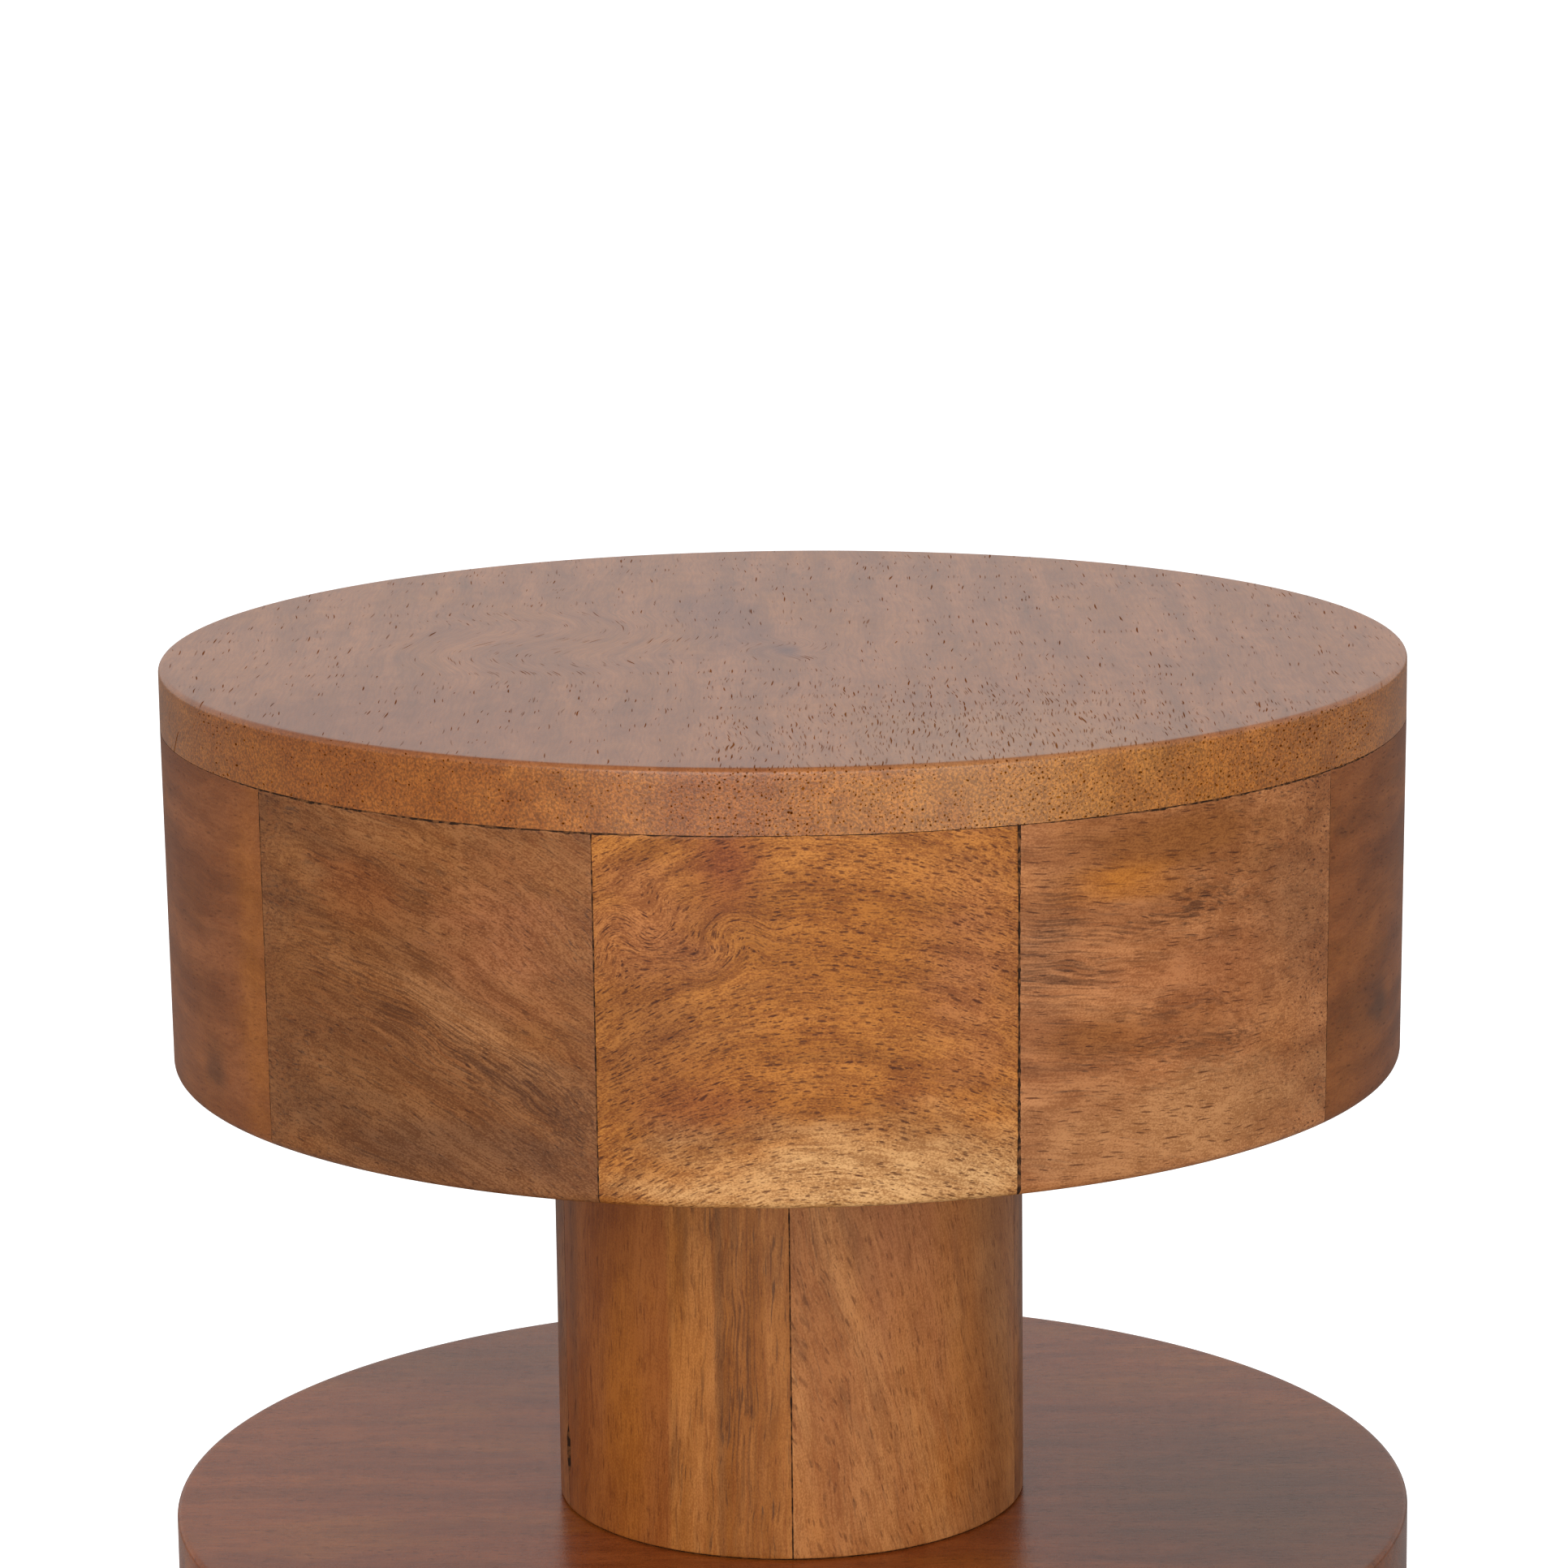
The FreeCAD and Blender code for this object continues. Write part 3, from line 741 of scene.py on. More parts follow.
    def _dots(self, nodes: ShaderNodes, place: Socket, wanted: Socket, radius: float) -> Socket:
        """Scattered round dots of uneven size and darkness.

        Args:
            nodes: The material's nodes.
            place: The place in cells that hold a dot each.
            wanted: The share of cells whose dot shows.
            radius: The dots' usual radius in a cell.

        Returns:
            The dots, from 0 between them to 1 in the darkest.
        """
        cells = nodes.add("ShaderNodeTexVoronoi", voronoi_dimensions="2D", feature="F1")
        nodes.feed(cells.inputs["Vector"], place)
        cells.inputs["Scale"].default_value = 1.0
        draw = nodes.add("ShaderNodeSeparateColor")
        nodes.feed(draw.inputs[0], cells.outputs["Color"])
        there = nodes.maths("LESS_THAN", draw.outputs[0], wanted)
        least, more = DOT_SIZES
        size = nodes.scaled(nodes.maths("POWER", draw.outputs[1], 2.0), more * radius, radius * least)
        share = nodes.maths("DIVIDE", cells.outputs["Distance"], size)
        dark = nodes.scaled(draw.outputs[2], *DOT_DARKNESS)
        return nodes.maths("MULTIPLY", nodes.maths("MULTIPLY", nodes.step(share, *DOT_RIM), there), dark)

    def _facing(self, nodes: ShaderNodes, way: Vector) -> Socket:
        """How much the surface looks a given way.

        Args:
            nodes: The material's nodes.
            way: The way.

        Returns:
            The share, from -1 to 1.
        """
        slant = nodes.add("ShaderNodeVectorMath", operation="DOT_PRODUCT")
        nodes.feed(slant.inputs[0], nodes.add("ShaderNodeNewGeometry").outputs["True Normal"])
        slant.inputs[1].default_value = way.normalized()
        return slant.outputs["Value"]

    def _edged(self, nodes: ShaderNodes, colour: Socket, place: Socket, board: Board) -> Socket:
        """The colour with a speckled tint on the board's edges.

        Args:
            nodes: The material's nodes.
            colour: The colour so far.
            place: The place on the board.
            board: Where the board lies.

        Returns:
            The tinted colour.
        """
        edge = nodes.step(self._facing(nodes, board.face), *EDGE_RISE)
        speck = nodes.step(self._layer(nodes, place, Figure.SPECK), *SPECK_RISE)
        dim, bright = (tuple(part * shade for part in self.edge_tint) for shade in SPECK_SHADES)
        tint = nodes.mix(edge, WHITE, nodes.mix(speck, dim, bright))
        return nodes.mix(1.0, colour, tint, "MULTIPLY")

    def _lacquer(self, nodes: ShaderNodes, fibre: Socket, fleck_and_glint: Socket, pores: Socket) -> None:
        """Sets the gloss and the fine relief of the lacquer.

        Args:
            nodes: The material's nodes.
            fibre: The layer of fibres.
            fleck_and_glint: The layer of flecks.
            pores: The pores.
        """
        rough = nodes.scaled(fleck_and_glint, ROUGH_SPREAD, self.roughness - ROUGH_SPREAD / 2)
        nodes.shade("Roughness", nodes.maths("ADD", rough, nodes.maths("MULTIPLY", pores, ROUGH_SPREAD)))
        if self.open_pores:
            closed = nodes.step(pores, *CLOSED_RISE)
            nodes.shade("Specular IOR Level", nodes.maths("MULTIPLY", closed, self.specular))
        else:
            nodes.shade("Specular IOR Level", self.specular)
        nodes.bump(nodes.maths("ADD", fibre, fleck_and_glint), LACQUER_DEPTH, LACQUER_STRENGTH)


@dataclass(frozen=True)
class Speckle:
    """A layer of noise in a plain finish: its sizes in mm, its finer layers and its seed."""

    sizes_mm: tuple[float, float, float]
    detail: float
    seed: float

    def read(self, nodes: ShaderNodes, place: Socket) -> Socket:
        """The layer's value at a place in millimetres."""
        return nodes.noise(place, self.sizes_mm, self.detail, self.seed).outputs["Fac"]


@dataclass(frozen=True)
class FillerFinish:
    """The dark crumbling filler in a joint, whose colour the columns' lowest foot rows also take as a painted contact
    shadow; its roughness is a spread and a least value.
    """

    dark: Colour = tone(48, 31, 21)
    dusty: Colour = tone(118, 76, 46)
    crumbs: Speckle = Speckle((1.6, 1.6, 1.6), 3.0, 2.0)
    crumb_rise: tuple[float, float] = (0.44, 0.64)
    rough: tuple[float, float] = (0.2, 0.6)
    specular: float = 0.08

    def material(self) -> bpy.types.Material:
        """Makes the filler's material.

        Returns:
            The material.
        """
        nodes = ShaderNodes("joint_filler_and_foot_shadow")
        crumbs = self.crumbs.read(nodes, nodes.place_mm())
        nodes.shade("Base Color", nodes.mix(nodes.step(crumbs, *self.crumb_rise), self.dark, self.dusty))
        nodes.shade("Specular IOR Level", self.specular)
        nodes.shade("Roughness", nodes.scaled(crumbs, *self.rough))
        return nodes.material


@dataclass(frozen=True)
class PlyFinish:
    """A thin-lacquered panel with straight, open grain; its shade and roughness are a spread and a least value."""

    pale: Colour = tone(176, 132, 88)
    deep: Colour = tone(140, 98, 60)
    bands: Speckle = Speckle((9.0, 160.0, 1.6), 4.0, 3.0)
    fibres: Speckle = Speckle((0.5, 14.0, 0.4), 2.0, 4.0)
    band_rise: tuple[float, float] = (0.3, 0.7)
    shade: tuple[float, float] = (0.4, 0.78)
    rough: tuple[float, float] = (0.2, 0.45)

    def material(self, name: str) -> bpy.types.Material:
        """Makes the panel's material.

        Args:
            name: The material's name.

        Returns:
            The material.
        """
        nodes = ShaderNodes(name)
        place = nodes.place_mm()
        band = self.bands.read(nodes, place)
        fibre = self.fibres.read(nodes, place)
        colour = nodes.mix(nodes.step(band, *self.band_rise), self.deep, self.pale)
        shade = nodes.scaled(fibre, *self.shade)
        nodes.shade("Base Color", nodes.mix(1.0, colour, nodes.join(shade, shade, shade), "MULTIPLY"))
        nodes.shade("Roughness", nodes.scaled(fibre, *self.rough))
        return nodes.material


@dataclass(frozen=True)
class ZincFinish:
    """Zinc-plated steel with faint turning marks; its roughness is a spread and a least value."""

    bright: Colour = tone(196, 198, 200)
    dull: Colour = tone(150, 152, 150)
    turning: Speckle = Speckle((2.5, 2.5, 0.5), 3.0, 5.0)
    rough: tuple[float, float] = (0.25, 0.25)

    def material(self) -> bpy.types.Material:
        """Makes the metal's material.

        Returns:
            The material.
        """
        nodes = ShaderNodes("zinc_steel")
        marks = self.turning.read(nodes, nodes.place_mm())
        nodes.shade("Base Color", nodes.mix(marks, self.dull, self.bright))
        nodes.shade("Roughness", nodes.scaled(marks, *self.rough))
        nodes.shade("Metallic", 1.0)
        return nodes.material


@dataclass(frozen=True)
class FeltFinish:
    """Dark brown pressed felt."""

    light: Colour = tone(86, 64, 50)
    dark: Colour = tone(52, 38, 30)
    fluff: Speckle = Speckle((0.5, 0.5, 0.5), 4.0, 6.0)
    depth: float = 0.2 * MM
    roughness: float = 0.95
    sheen: float = 0.3

    def material(self) -> bpy.types.Material:
        """Makes the felt's material.

        Returns:
            The material.
        """
        nodes = ShaderNodes("pad_felt")
        fluff = self.fluff.read(nodes, nodes.place_mm())
        nodes.shade("Base Color", nodes.mix(fluff, self.dark, self.light))
        nodes.shade("Roughness", self.roughness)
        nodes.shade("Sheen Weight", self.sheen)
        nodes.bump(fluff, self.depth)
        return nodes.material


SHARP_ANGLE = math.radians(32)


def new_piece(name: str, verts: Corners, faces: Faces, slots: list[int], materials: list[bpy.types.Material],
              node: str) -> bpy.types.Object:
    """Makes a piece from its corners and faces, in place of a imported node.

    Args:
        name: The piece's name.
        verts: Its corners, in the table's frame.
        faces: Its faces, as corner numbers.
        slots: Which material each face takes.
        materials: Its materials.
        node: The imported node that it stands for.

    Returns:
        The piece, riding on the table.
    """
    mesh = bpy.data.meshes.new(name)
    mesh.from_pydata([tuple(v) for v in verts], [], faces)
    for material in materials:
        mesh.materials.append(material)
    mesh.polygons.foreach_set("material_index", slots)
    mesh.polygons.foreach_set("use_smooth", [True] * len(faces))
    mesh.validate()
    mesh.set_sharp_from_angle(angle=SHARP_ANGLE)
    piece = bpy.data.objects.new(name, mesh)
    bpy.context.scene.collection.objects.link(piece)
    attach(piece, "root")
    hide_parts(node)
    LOG.info("%s: %d faces in place of %s", name, len(faces), node)
    return piece


def dress(node: str, material: bpy.types.Material) -> None:
    """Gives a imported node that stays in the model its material.

    Args:
        node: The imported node's name.
        material: Its material.
    """
    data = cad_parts[node].data
    data.materials.clear()
    data.materials.append(material)
    LOG.info("%s: dressed in %s", node, material.name)


def quarter_round(radius: float, steps: int) -> Outline:
    """Points of a quarter circle from its foot to its side: how far inside the side and above the foot they lie."""
    angles = [math.radians(90 * step / steps) for step in range(steps + 1)]
    return [(radius * (1 - math.sin(angle)), radius * (1 - math.cos(angle))) for angle in angles]


@dataclass(frozen=True)
class JointLine:
    """How a joint shows on the surface: the filler's half width, how deep it has sunk and where it is open."""

    half_width_mm: float = 0.2
    sunk_mm: float = 0.12
    least_mm: float = 0.05
    open_mm: tuple[float, float] = (0.0, 0.0)
    open_half_width_mm: float = 0.55
    open_depth_mm: float = 1.6
    open_taper: float = 0.25
    frayed: tuple[float, float] = (0.4, 1.3)

    def openness(self, along_mm: float) -> float:
        """How open the joint is at a height.

        Args:
            along_mm: The height above the board's foot.

        Returns:
            The openness, from 0 to 1.
        """
        low, high = self.open_mm
        if high <= low:
            return 0.0
        ends = min(along_mm - low, high - along_mm) / (self.open_taper * (high - low))
        return min(1.0, max(0.0, ends))


@dataclass
class ArcBoard:
    """A board turned to an arc about the table's axis: a ring segment or a column stave."""

    node: str
    slot: str
    wood: bpy.types.Material
    filler: bpy.types.Material
    left_joint: JointLine
    right_joint: JointLine
    top_line_mm: tuple[tuple[float, float], ...] = ()
    top_line_seed: float = 41.0
    top_line_sunk: float = 0.15 * MM
    top_line_frayed: tuple[float, float] = (0.25, 1.3)
    foot_inset: float = 0.0
    foot_rounding: float = 0.0
    foot_steps: int = 6
    # Rows of the foot rounding that take the filler's dark colour as a painted contact shadow.
    painted_foot_shadow_rows: int = 0
    step_radius: float = 0.0
    step_height: float = 0.0
    row_mm: float = 0.7
    column_mm: float = 1.2
    edge_mm: float = 0.9
    filled_share: float = 0.9
    seed: float = 0.0
    shape: NodeShape = field(init=False)

    def __post_init__(self) -> None:
        """Reads the board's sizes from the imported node."""
        self.shape = NodeShape.of(self.node)

    def build(self) -> bpy.types.Object:
        """Makes the board, with filler along its joints and, where it has any, the filler's colour on its lowest foot
        rows as a painted contact shadow.

        Returns:
            The board's piece.
        """
        angles = self._angles()
        last = len(angles) - 1
        verts = [corner for column, angle in enumerate(angles) for corner in self._section(column, angle, last)]
        ring = len(verts) // len(angles)
        seam_row = len(self._outer_rows(self.shape.bearing)) - 1
        faces: Faces = []
        slots: list[int] = []
        for column in range(last):
            near, far = column * ring, (column + 1) * ring
            for row in range(ring):
                after = (row + 1) % ring
                faces.append((near + row, far + row, far + after, near + after))
                at_joint = column in (0, last - 1) and row < seam_row
                at_seam = bool(self.top_line_mm) and row == seam_row
                # The lowest rows of the foot rounding take the filler's dark colour as a painted contact shadow.
                slots.append(1 if at_joint or at_seam or row < self.painted_foot_shadow_rows else 0)
        faces += [tuple(reversed(range(ring))), tuple(range(last * ring, (last + 1) * ring))]
        slots += [0, 0]
        return new_piece(self.node + "_wood", verts, faces, slots, [self.wood, self.filler], self.node)

    def _angles(self) -> list[float]:
        """Where the board's upright rows of corners stand.

        Returns:
            Their angles from the board's middle in radians, with a narrow strip for the filler at each joint.
        """
        half = math.radians(self.shape.half_angle)
        edge = self.edge_mm * MM / self.shape.outside
        width = 2 * (half - edge)
        count = max(4, round(width * self.shape.outside / (self.column_mm * MM)))
        inner = [-half + edge + width * k / count for k in range(count + 1)]
        return [-half, -half + edge / 2, *inner, half - edge / 2, half]

    def _section(self, column: int, angle: float, last: int) -> Corners:
        """The board's outline at one upright row.

        Args:
            column: The row's number.
            angle: Its angle from the board's middle, in radians.
            last: The last row's number.

        Returns:
            The outline's corners, from the foot of the outer face round to the foot of the inner one.
        """
        shape = self.shape
        half = math.radians(shape.half_angle)
        bearing = shape.bearing + math.degrees(angle)
        corners: Corners = []
        for radius, height in self._outer_rows(bearing):
            turn = angle
            along_mm = (height - shape.low) / MM
            if column in (0, last):
                joint = self.left_joint if column == 0 else self.right_joint
                radius -= (joint.sunk_mm + joint.open_depth_mm * joint.openness(along_mm)) * MM
            if column == 1:
                width = self._joint_width(self.left_joint, along_mm, shape.bearing - shape.half_angle)
                turn = -half + width / radius
            if column == last - 1:
                width = self._joint_width(self.right_joint, along_mm, shape.bearing + shape.half_angle)
                turn = half - width / radius
            corners.append(at_bearing(radius, shape.bearing + math.degrees(turn), height))
        if self.top_line_mm:
            corners.append(at_bearing(shape.outside - self.top_line_sunk, bearing, shape.high))
        return corners + [at_bearing(radius, bearing, height) for radius, height in self._inner_rows()]

    def _outer_rows(self, bearing: float) -> Outline:
        """The outer face from its foot to its head.

        Args:
            bearing: Where on the table.

        Returns:
            Radius and height of its points.
        """
        shape = self.shape
        foot_radius = shape.outside - self.foot_inset
        rows: Outline = []
        if self.foot_rounding:
            rows += [(foot_radius - inside, shape.low + above)
                     for inside, above in quarter_round(self.foot_rounding, self.foot_steps)[:-1]]
        start = shape.low + self.foot_rounding
        end = shape.high - self._top_drop(bearing)
        count = max(2, round((shape.high - start) / (self.row_mm * MM)))
        for step in range(count + 1):
            height = start + (end - start) * step / count
            share = (height - shape.low) / (shape.high - shape.low)
            rows.append((foot_radius + self.foot_inset * share, height))
        return rows

    def _inner_rows(self) -> Outline:
        """The rest of the outline, from the head round to the foot.

        Returns:
            Radius and height of its points.
        """
        shape = self.shape
        if not self.step_height:
            return [(shape.inside, shape.high), (shape.inside, shape.low)]
        step = shape.low + self.step_height
        return [(shape.inside, shape.high), (shape.inside, step), (self.step_radius, step),
                (self.step_radius, shape.low)]

    def _top_drop(self, bearing: float) -> float:
        """How far the filler of the seam above reaches down the board.

        Args:
            bearing: Where on the table.

        Returns:
            The filler's height in metres.
        """
        if not self.top_line_mm:
            return 0.0
        before, after = self.top_line_mm[0], self.top_line_mm[-1]
        for pair in self.top_line_mm:
            if pair[0] <= bearing:
                before = pair
            else:
                after = pair
                break
        span = after[0] - before[0]
        share = (bearing - before[0]) / span if span > 0 else 0.0
        width_mm = before[1] + (after[1] - before[1]) * min(1.0, max(0.0, share))
        along_mm = math.radians(bearing) * self.shape.outside / MM
        least, spread = self.top_line_frayed
        return width_mm * (least + spread * rough_line(along_mm, self.top_line_seed)) * MM

    def _joint_width(self, joint: JointLine, along_mm: float, bearing: float) -> float:
        """The filler's half width in a joint.

        Args:
            joint: The joint.
            along_mm: The height above the board's foot.
            bearing: Where the joint is, so that the boards on both sides of it fray alike.

        Returns:
            The half width in metres.
        """
        seed = round((bearing % 360) * 10) / 7.0 + self.seed
        least, spread = joint.frayed
        width_mm = joint.half_width_mm * (least + spread * rough_line(along_mm, seed))
        gap_mm = joint.open_half_width_mm * joint.openness(along_mm)
        return min(self.filled_share * self.edge_mm, max(joint.least_mm, width_mm) + gap_mm) * MM


def joint_plane(node: str) -> tuple[Vector, Vector]:
    """The joint of a packed cap plank: its largest upright flat.

    Args:
        node: The plank's node.

    Returns:
        A point on the joint and its normal, away from the plank.
    """
    flats = [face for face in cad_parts[node].data.polygons if abs(face.normal.z) < 0.01]
    largest = max(flats, key=lambda face: face.area)
    return largest.center.copy(), largest.normal.copy()


@dataclass
class CapPlank:
    """One plank of a drum's cap: the disc on one side of the joint, with a rounded upper edge."""

    node: str
    wood: bpy.types.Material
    rounding: float = 1.4 * MM
    lip: float = 1.2 * MM
    corner_steps: int = 8
    side_steps: int = 6
    turn_steps: int = 240
    inner_rings: tuple[float, ...] = (0.9, 0.7, 0.45, 0.2)

    def build(self, radius: float) -> bpy.types.Object:
        """Makes the plank.

        Args:
            radius: The cap's radius.

        Returns:
            The plank's piece.
        """
        mesh = bmesh.new()
        steps = self.turn_steps
        rings = [[mesh.verts.new(at_bearing(reach, 360 * k / steps, height)) for k in range(steps)]
                 for reach, height in self._profile(radius)]
        for lower, upper in zip(rings, rings[1:]):
            for k in range(steps):
                after = (k + 1) % steps
                mesh.faces.new((lower[k], lower[after], upper[after], upper[k]))
        mesh.faces.new(rings[-1])
        mesh.faces.new(list(reversed(rings[0])))
        point, normal = joint_plane(self.node)
        everything = mesh.verts[:] + mesh.edges[:] + mesh.faces[:]
        cut = bmesh.ops.bisect_plane(mesh, geom=everything, plane_co=point, plane_no=normal, clear_outer=True)
        edges = [item for item in cut["geom_cut"] if isinstance(item, bmesh.types.BMEdge)]
        bmesh.ops.edgeloop_fill(mesh, edges=edges)
        bmesh.ops.recalc_face_normals(mesh, faces=mesh.faces[:])
        mesh.verts.index_update()
        verts = [vert.co.copy() for vert in mesh.verts]
        faces = [tuple(vert.index for vert in face.verts) for face in mesh.faces]
        mesh.free()
        return new_piece(self.node + "_wood", verts, faces, [0] * len(faces), [self.wood], self.node)

    def _profile(self, radius: float) -> Outline:
        """The cap's outline from the foot of its edge to near its middle.

        Args:
            radius: The cap's radius.

        Returns:
            Radius and height of its points.
        """
        heights = [vertex.co.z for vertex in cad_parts[self.node].data.vertices]
        low, high = min(heights), max(heights)
        side = high - self.rounding - low
        profile = [(radius, low)]
        profile += [(radius, low + side * k / self.side_steps) for k in range(1, self.side_steps)]
        profile += [(radius - inside, high - below)
                    for below, inside in quarter_round(self.rounding, self.corner_steps)]
        profile.append((radius - self.rounding - self.lip, high))
        return profile + [(radius * share, high) for share in self.inner_rings]


@dataclass
class Drum:
    """One drum: a ring of segments, a cap of two planks and a foot panel."""

    name: str
    segment_finishes: dict[int, WoodFinish]
    plank_finishes: dict[str, WoodFinish]
    spare_finishes: tuple[WoodFinish, ...]
    joints: dict[int, JointLine]
    seam_mm: tuple[tuple[float, float], ...]
    foot_inset: float = 0.7 * MM
    foot_rounding: float = 2.0 * MM
    panel_gap: float = 0.2 * MM
    segment_count: int = 10

    def build(self, filler: bpy.types.Material, ply: bpy.types.Material) -> None:
        """Makes the drum's pieces and dresses its panel.

        Args:
            filler: The joints' material.
            ply: The panel's material.
        """
        panel = f"{self.name}_foot_panel"
        dress(panel, ply)
        for number in range(1, self.segment_count + 1):
            self._segment(number, NodeShape.of(panel), filler)
        self._cap()

    def _segment(self, number: int, panel: NodeShape, filler: bpy.types.Material) -> None:
        """Makes one segment of the ring.

        Args:
            number: The segment's number.
            panel: The sizes of the panel in the ring's foot.
            filler: The joints' material.
        """
        node = f"{self.name}_ring_segment_{number:02d}"
        shape = NodeShape.of(node)
        finish = self.segment_finishes.get(number) or self.spare_finishes[number % len(self.spare_finishes)]
        outward = at_bearing(1.0, shape.bearing, 0.0)
        turn = math.radians(finish.plan_turn)
        fibres = UP.cross(outward) * math.cos(turn) + outward * math.sin(turn)
        wood = finish.material(node, Board(shape.face_middle(), fibres, outward))
        ArcBoard(node, "ring_wood", wood, filler,
                 left_joint=self.joints.get(number - 1, JointLine()),
                 right_joint=self.joints.get(number, JointLine()),
                 top_line_mm=self.seam_mm, foot_inset=self.foot_inset, foot_rounding=self.foot_rounding,
                 step_radius=panel.outside + self.panel_gap, step_height=panel.high - panel.low).build()

    def _cap(self) -> None:
        """Makes the cap's two planks, whose grain runs along their joint, to the back or to the right."""
        onward = Vector((0.3, 1, 0))
        radius = max(NodeShape.of(f"{self.name}_cap_plank_{side}").outside for side in SIDES)
        for side in SIDES:
            node = f"{self.name}_cap_plank_{side}"
            fibres = UP.cross(joint_plane(node)[1])
            if fibres.dot(onward) < 0:
                fibres = -fibres
            board = Board(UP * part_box(node)[1].z, fibres, UP)
            CapPlank(node, self.plank_finishes[side].material(node, board)).build(radius)


@dataclass
class Column:
    """One column of upright staves."""

    name: str
    finishes: tuple[WoodFinish, ...]
    joints: dict[int, JointLine]
    plain_joint: JointLine = JointLine(0.08)
    foot_rounding: float = 0.9 * MM
    # The lowest foot rows are painted dark as the contact shadow where the staves meet the cap.
    painted_foot_shadow_rows: int = 4
    edge_mm: float = 1.7
    seed: float = 5.0

    def build(self, filler: bpy.types.Material) -> None:
        """Makes the staves.

        Args:
            filler: The joints' material, which the lowest foot rows also take as a painted contact shadow.
        """
        for number, finish in enumerate(self.finishes, start=1):
            node = f"{self.name}_column_stave_{number}"
            shape = NodeShape.of(node)
            wood = finish.material(node, Board(shape.face_middle(), UP, at_bearing(1.0, shape.bearing, 0.0)))
            before = number - 1 or len(self.finishes)
            ArcBoard(node, "column_wood", wood, filler,
                     left_joint=self.joints.get(before, self.plain_joint),
                     right_joint=self.joints.get(number, self.plain_joint),
                     foot_rounding=self.foot_rounding, painted_foot_shadow_rows=self.painted_foot_shadow_rows,
                     edge_mm=self.edge_mm, seed=self.seed).build()


@dataclass
class FeltPads:
    """The felt pads under the base: pressed discs with a soft rim and a slightly swollen side."""

    node: str = "felt_pads"
    rim: float = 0.9 * MM
    swell: float = 0.25 * MM
    rim_steps: int = 6
    side_steps: int = 4
    turn_steps: int = 48
    apart: float = 40 * MM
    fill: float = 0.9

    def build(self, felt: bpy.types.Material) -> None:
        """Makes the pads as one piece.

        Args:
            felt: The pads' material.
        """
        verts: Corners = []
        faces: Faces = []
        steps = self.turn_steps
        for middle, radius, low, high in self._discs():
            start = len(verts)
            profile = self._profile(radius, low, high)
            for reach, height in profile:
                verts += [middle + at_bearing(reach, 360 * k / steps, height) for k in range(steps)]
            for row in range(len(profile) - 1):
                near, far = start + row * steps, start + (row + 1) * steps
                for k in range(steps):
                    after = (k + 1) % steps
                    faces.append((near + k, near + after, far + after, far + k))
            last = start + (len(profile) - 1) * steps
            faces += [tuple(reversed(range(start, start + steps))), tuple(range(last, last + steps))]
        piece = new_piece("felt_pads_felt", verts, faces, [0] * len(faces), [felt], self.node)

    def _discs(self) -> list[tuple[Vector, float, float, float]]:
        """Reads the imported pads.

        Returns:
            Each pad's middle, radius, lowest and highest point.
        """
        groups: list[Corners] = []
        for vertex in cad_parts[self.node].data.vertices:
            near = [group for group in groups if (group[0] - vertex.co).length < self.apart]
            if near:
                near[0].append(vertex.co)
            else:
                groups.append([vertex.co])
        discs = []
        for group in groups:
            lows = [min(place[axis] for place in group) for axis in range(3)]
            highs = [max(place[axis] for place in group) for axis in range(3)]
            middle = Vector(((lows[0] + highs[0]) / 2, (lows[1] + highs[1]) / 2, 0))
            discs.append((middle, (highs[0] - lows[0]) / 2, lows[2], highs[2]))
        return discs

    def _profile(self, radius: float, low: float, high: float) -> Outline:
        """A pad's side from the floor to the panel.

        Args:
            radius: The pad's radius.
            low: Its lowest point.
            high: Its highest point.

        Returns:
            Radius and height of the side's points.
        """
        rows = [(radius - inside, low + above) for inside, above in quarter_round(self.rim, self.rim_steps)]
        for step in range(1, self.side_steps + 1):
            share = step / self.side_steps
            swell = self.swell * math.sin(math.pi * share)
            rows.append((radius - self.swell + swell, low + self.rim + (high - low - self.rim) * share))
        return rows


@dataclass(frozen=True)
class InnerParts:
    """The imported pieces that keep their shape: blocks inside the drums, dowels and metal fastenings."""

    metal: tuple[str, ...] = ("tie_rod", "threaded_insert", "rod_washer", "rod_nut", "base_panel_screws")
    blocks: tuple[str, ...] = ("top_fixing_block", "middle_spacer_block", "base_spacer_block")
    dowels: tuple[str, ...] = ("locating_dowels",)
    block_finish: PlyFinish = PlyFinish(tone(206, 166, 120), tone(176, 134, 90))
    dowel_finish: PlyFinish = PlyFinish(tone(222, 186, 140), tone(198, 158, 110))

    def dress(self) -> None:
        """Gives each piece its finish."""
        zinc = ZincFinish().material()
        wood = self.block_finish.material("block_wood")
        peg = self.dowel_finish.material("dowel_wood")
        for nodes, material in ((self.metal, zinc), (self.blocks, wood), (self.dowels, peg)):
            for node in nodes:
                dress(node, material)


@dataclass(frozen=True)
class Lamp:
    """A large soft square lamp: where it hangs, its side, its power in watts and whether gloss mirrors it."""

    name: str
    place: tuple[float, float, float]
    side: float
    power: float
    mirrored: bool = True

    def build(self, target: Vector) -> None:
        """Hangs the lamp.

        Args:
            target: What it looks at.
        """
        data = bpy.data.lights.new(self.name, "AREA")
        data.size = self.side
        data.energy = self.power
        lamp = bpy.data.objects.new(self.name, data)
        lamp.location = self.place
        lamp.rotation_euler = (target - Vector(self.place)).to_track_quat("-Z", "Y").to_euler()
        lamp.visible_glossy = self.mirrored
        bpy.context.scene.collection.objects.link(lamp)


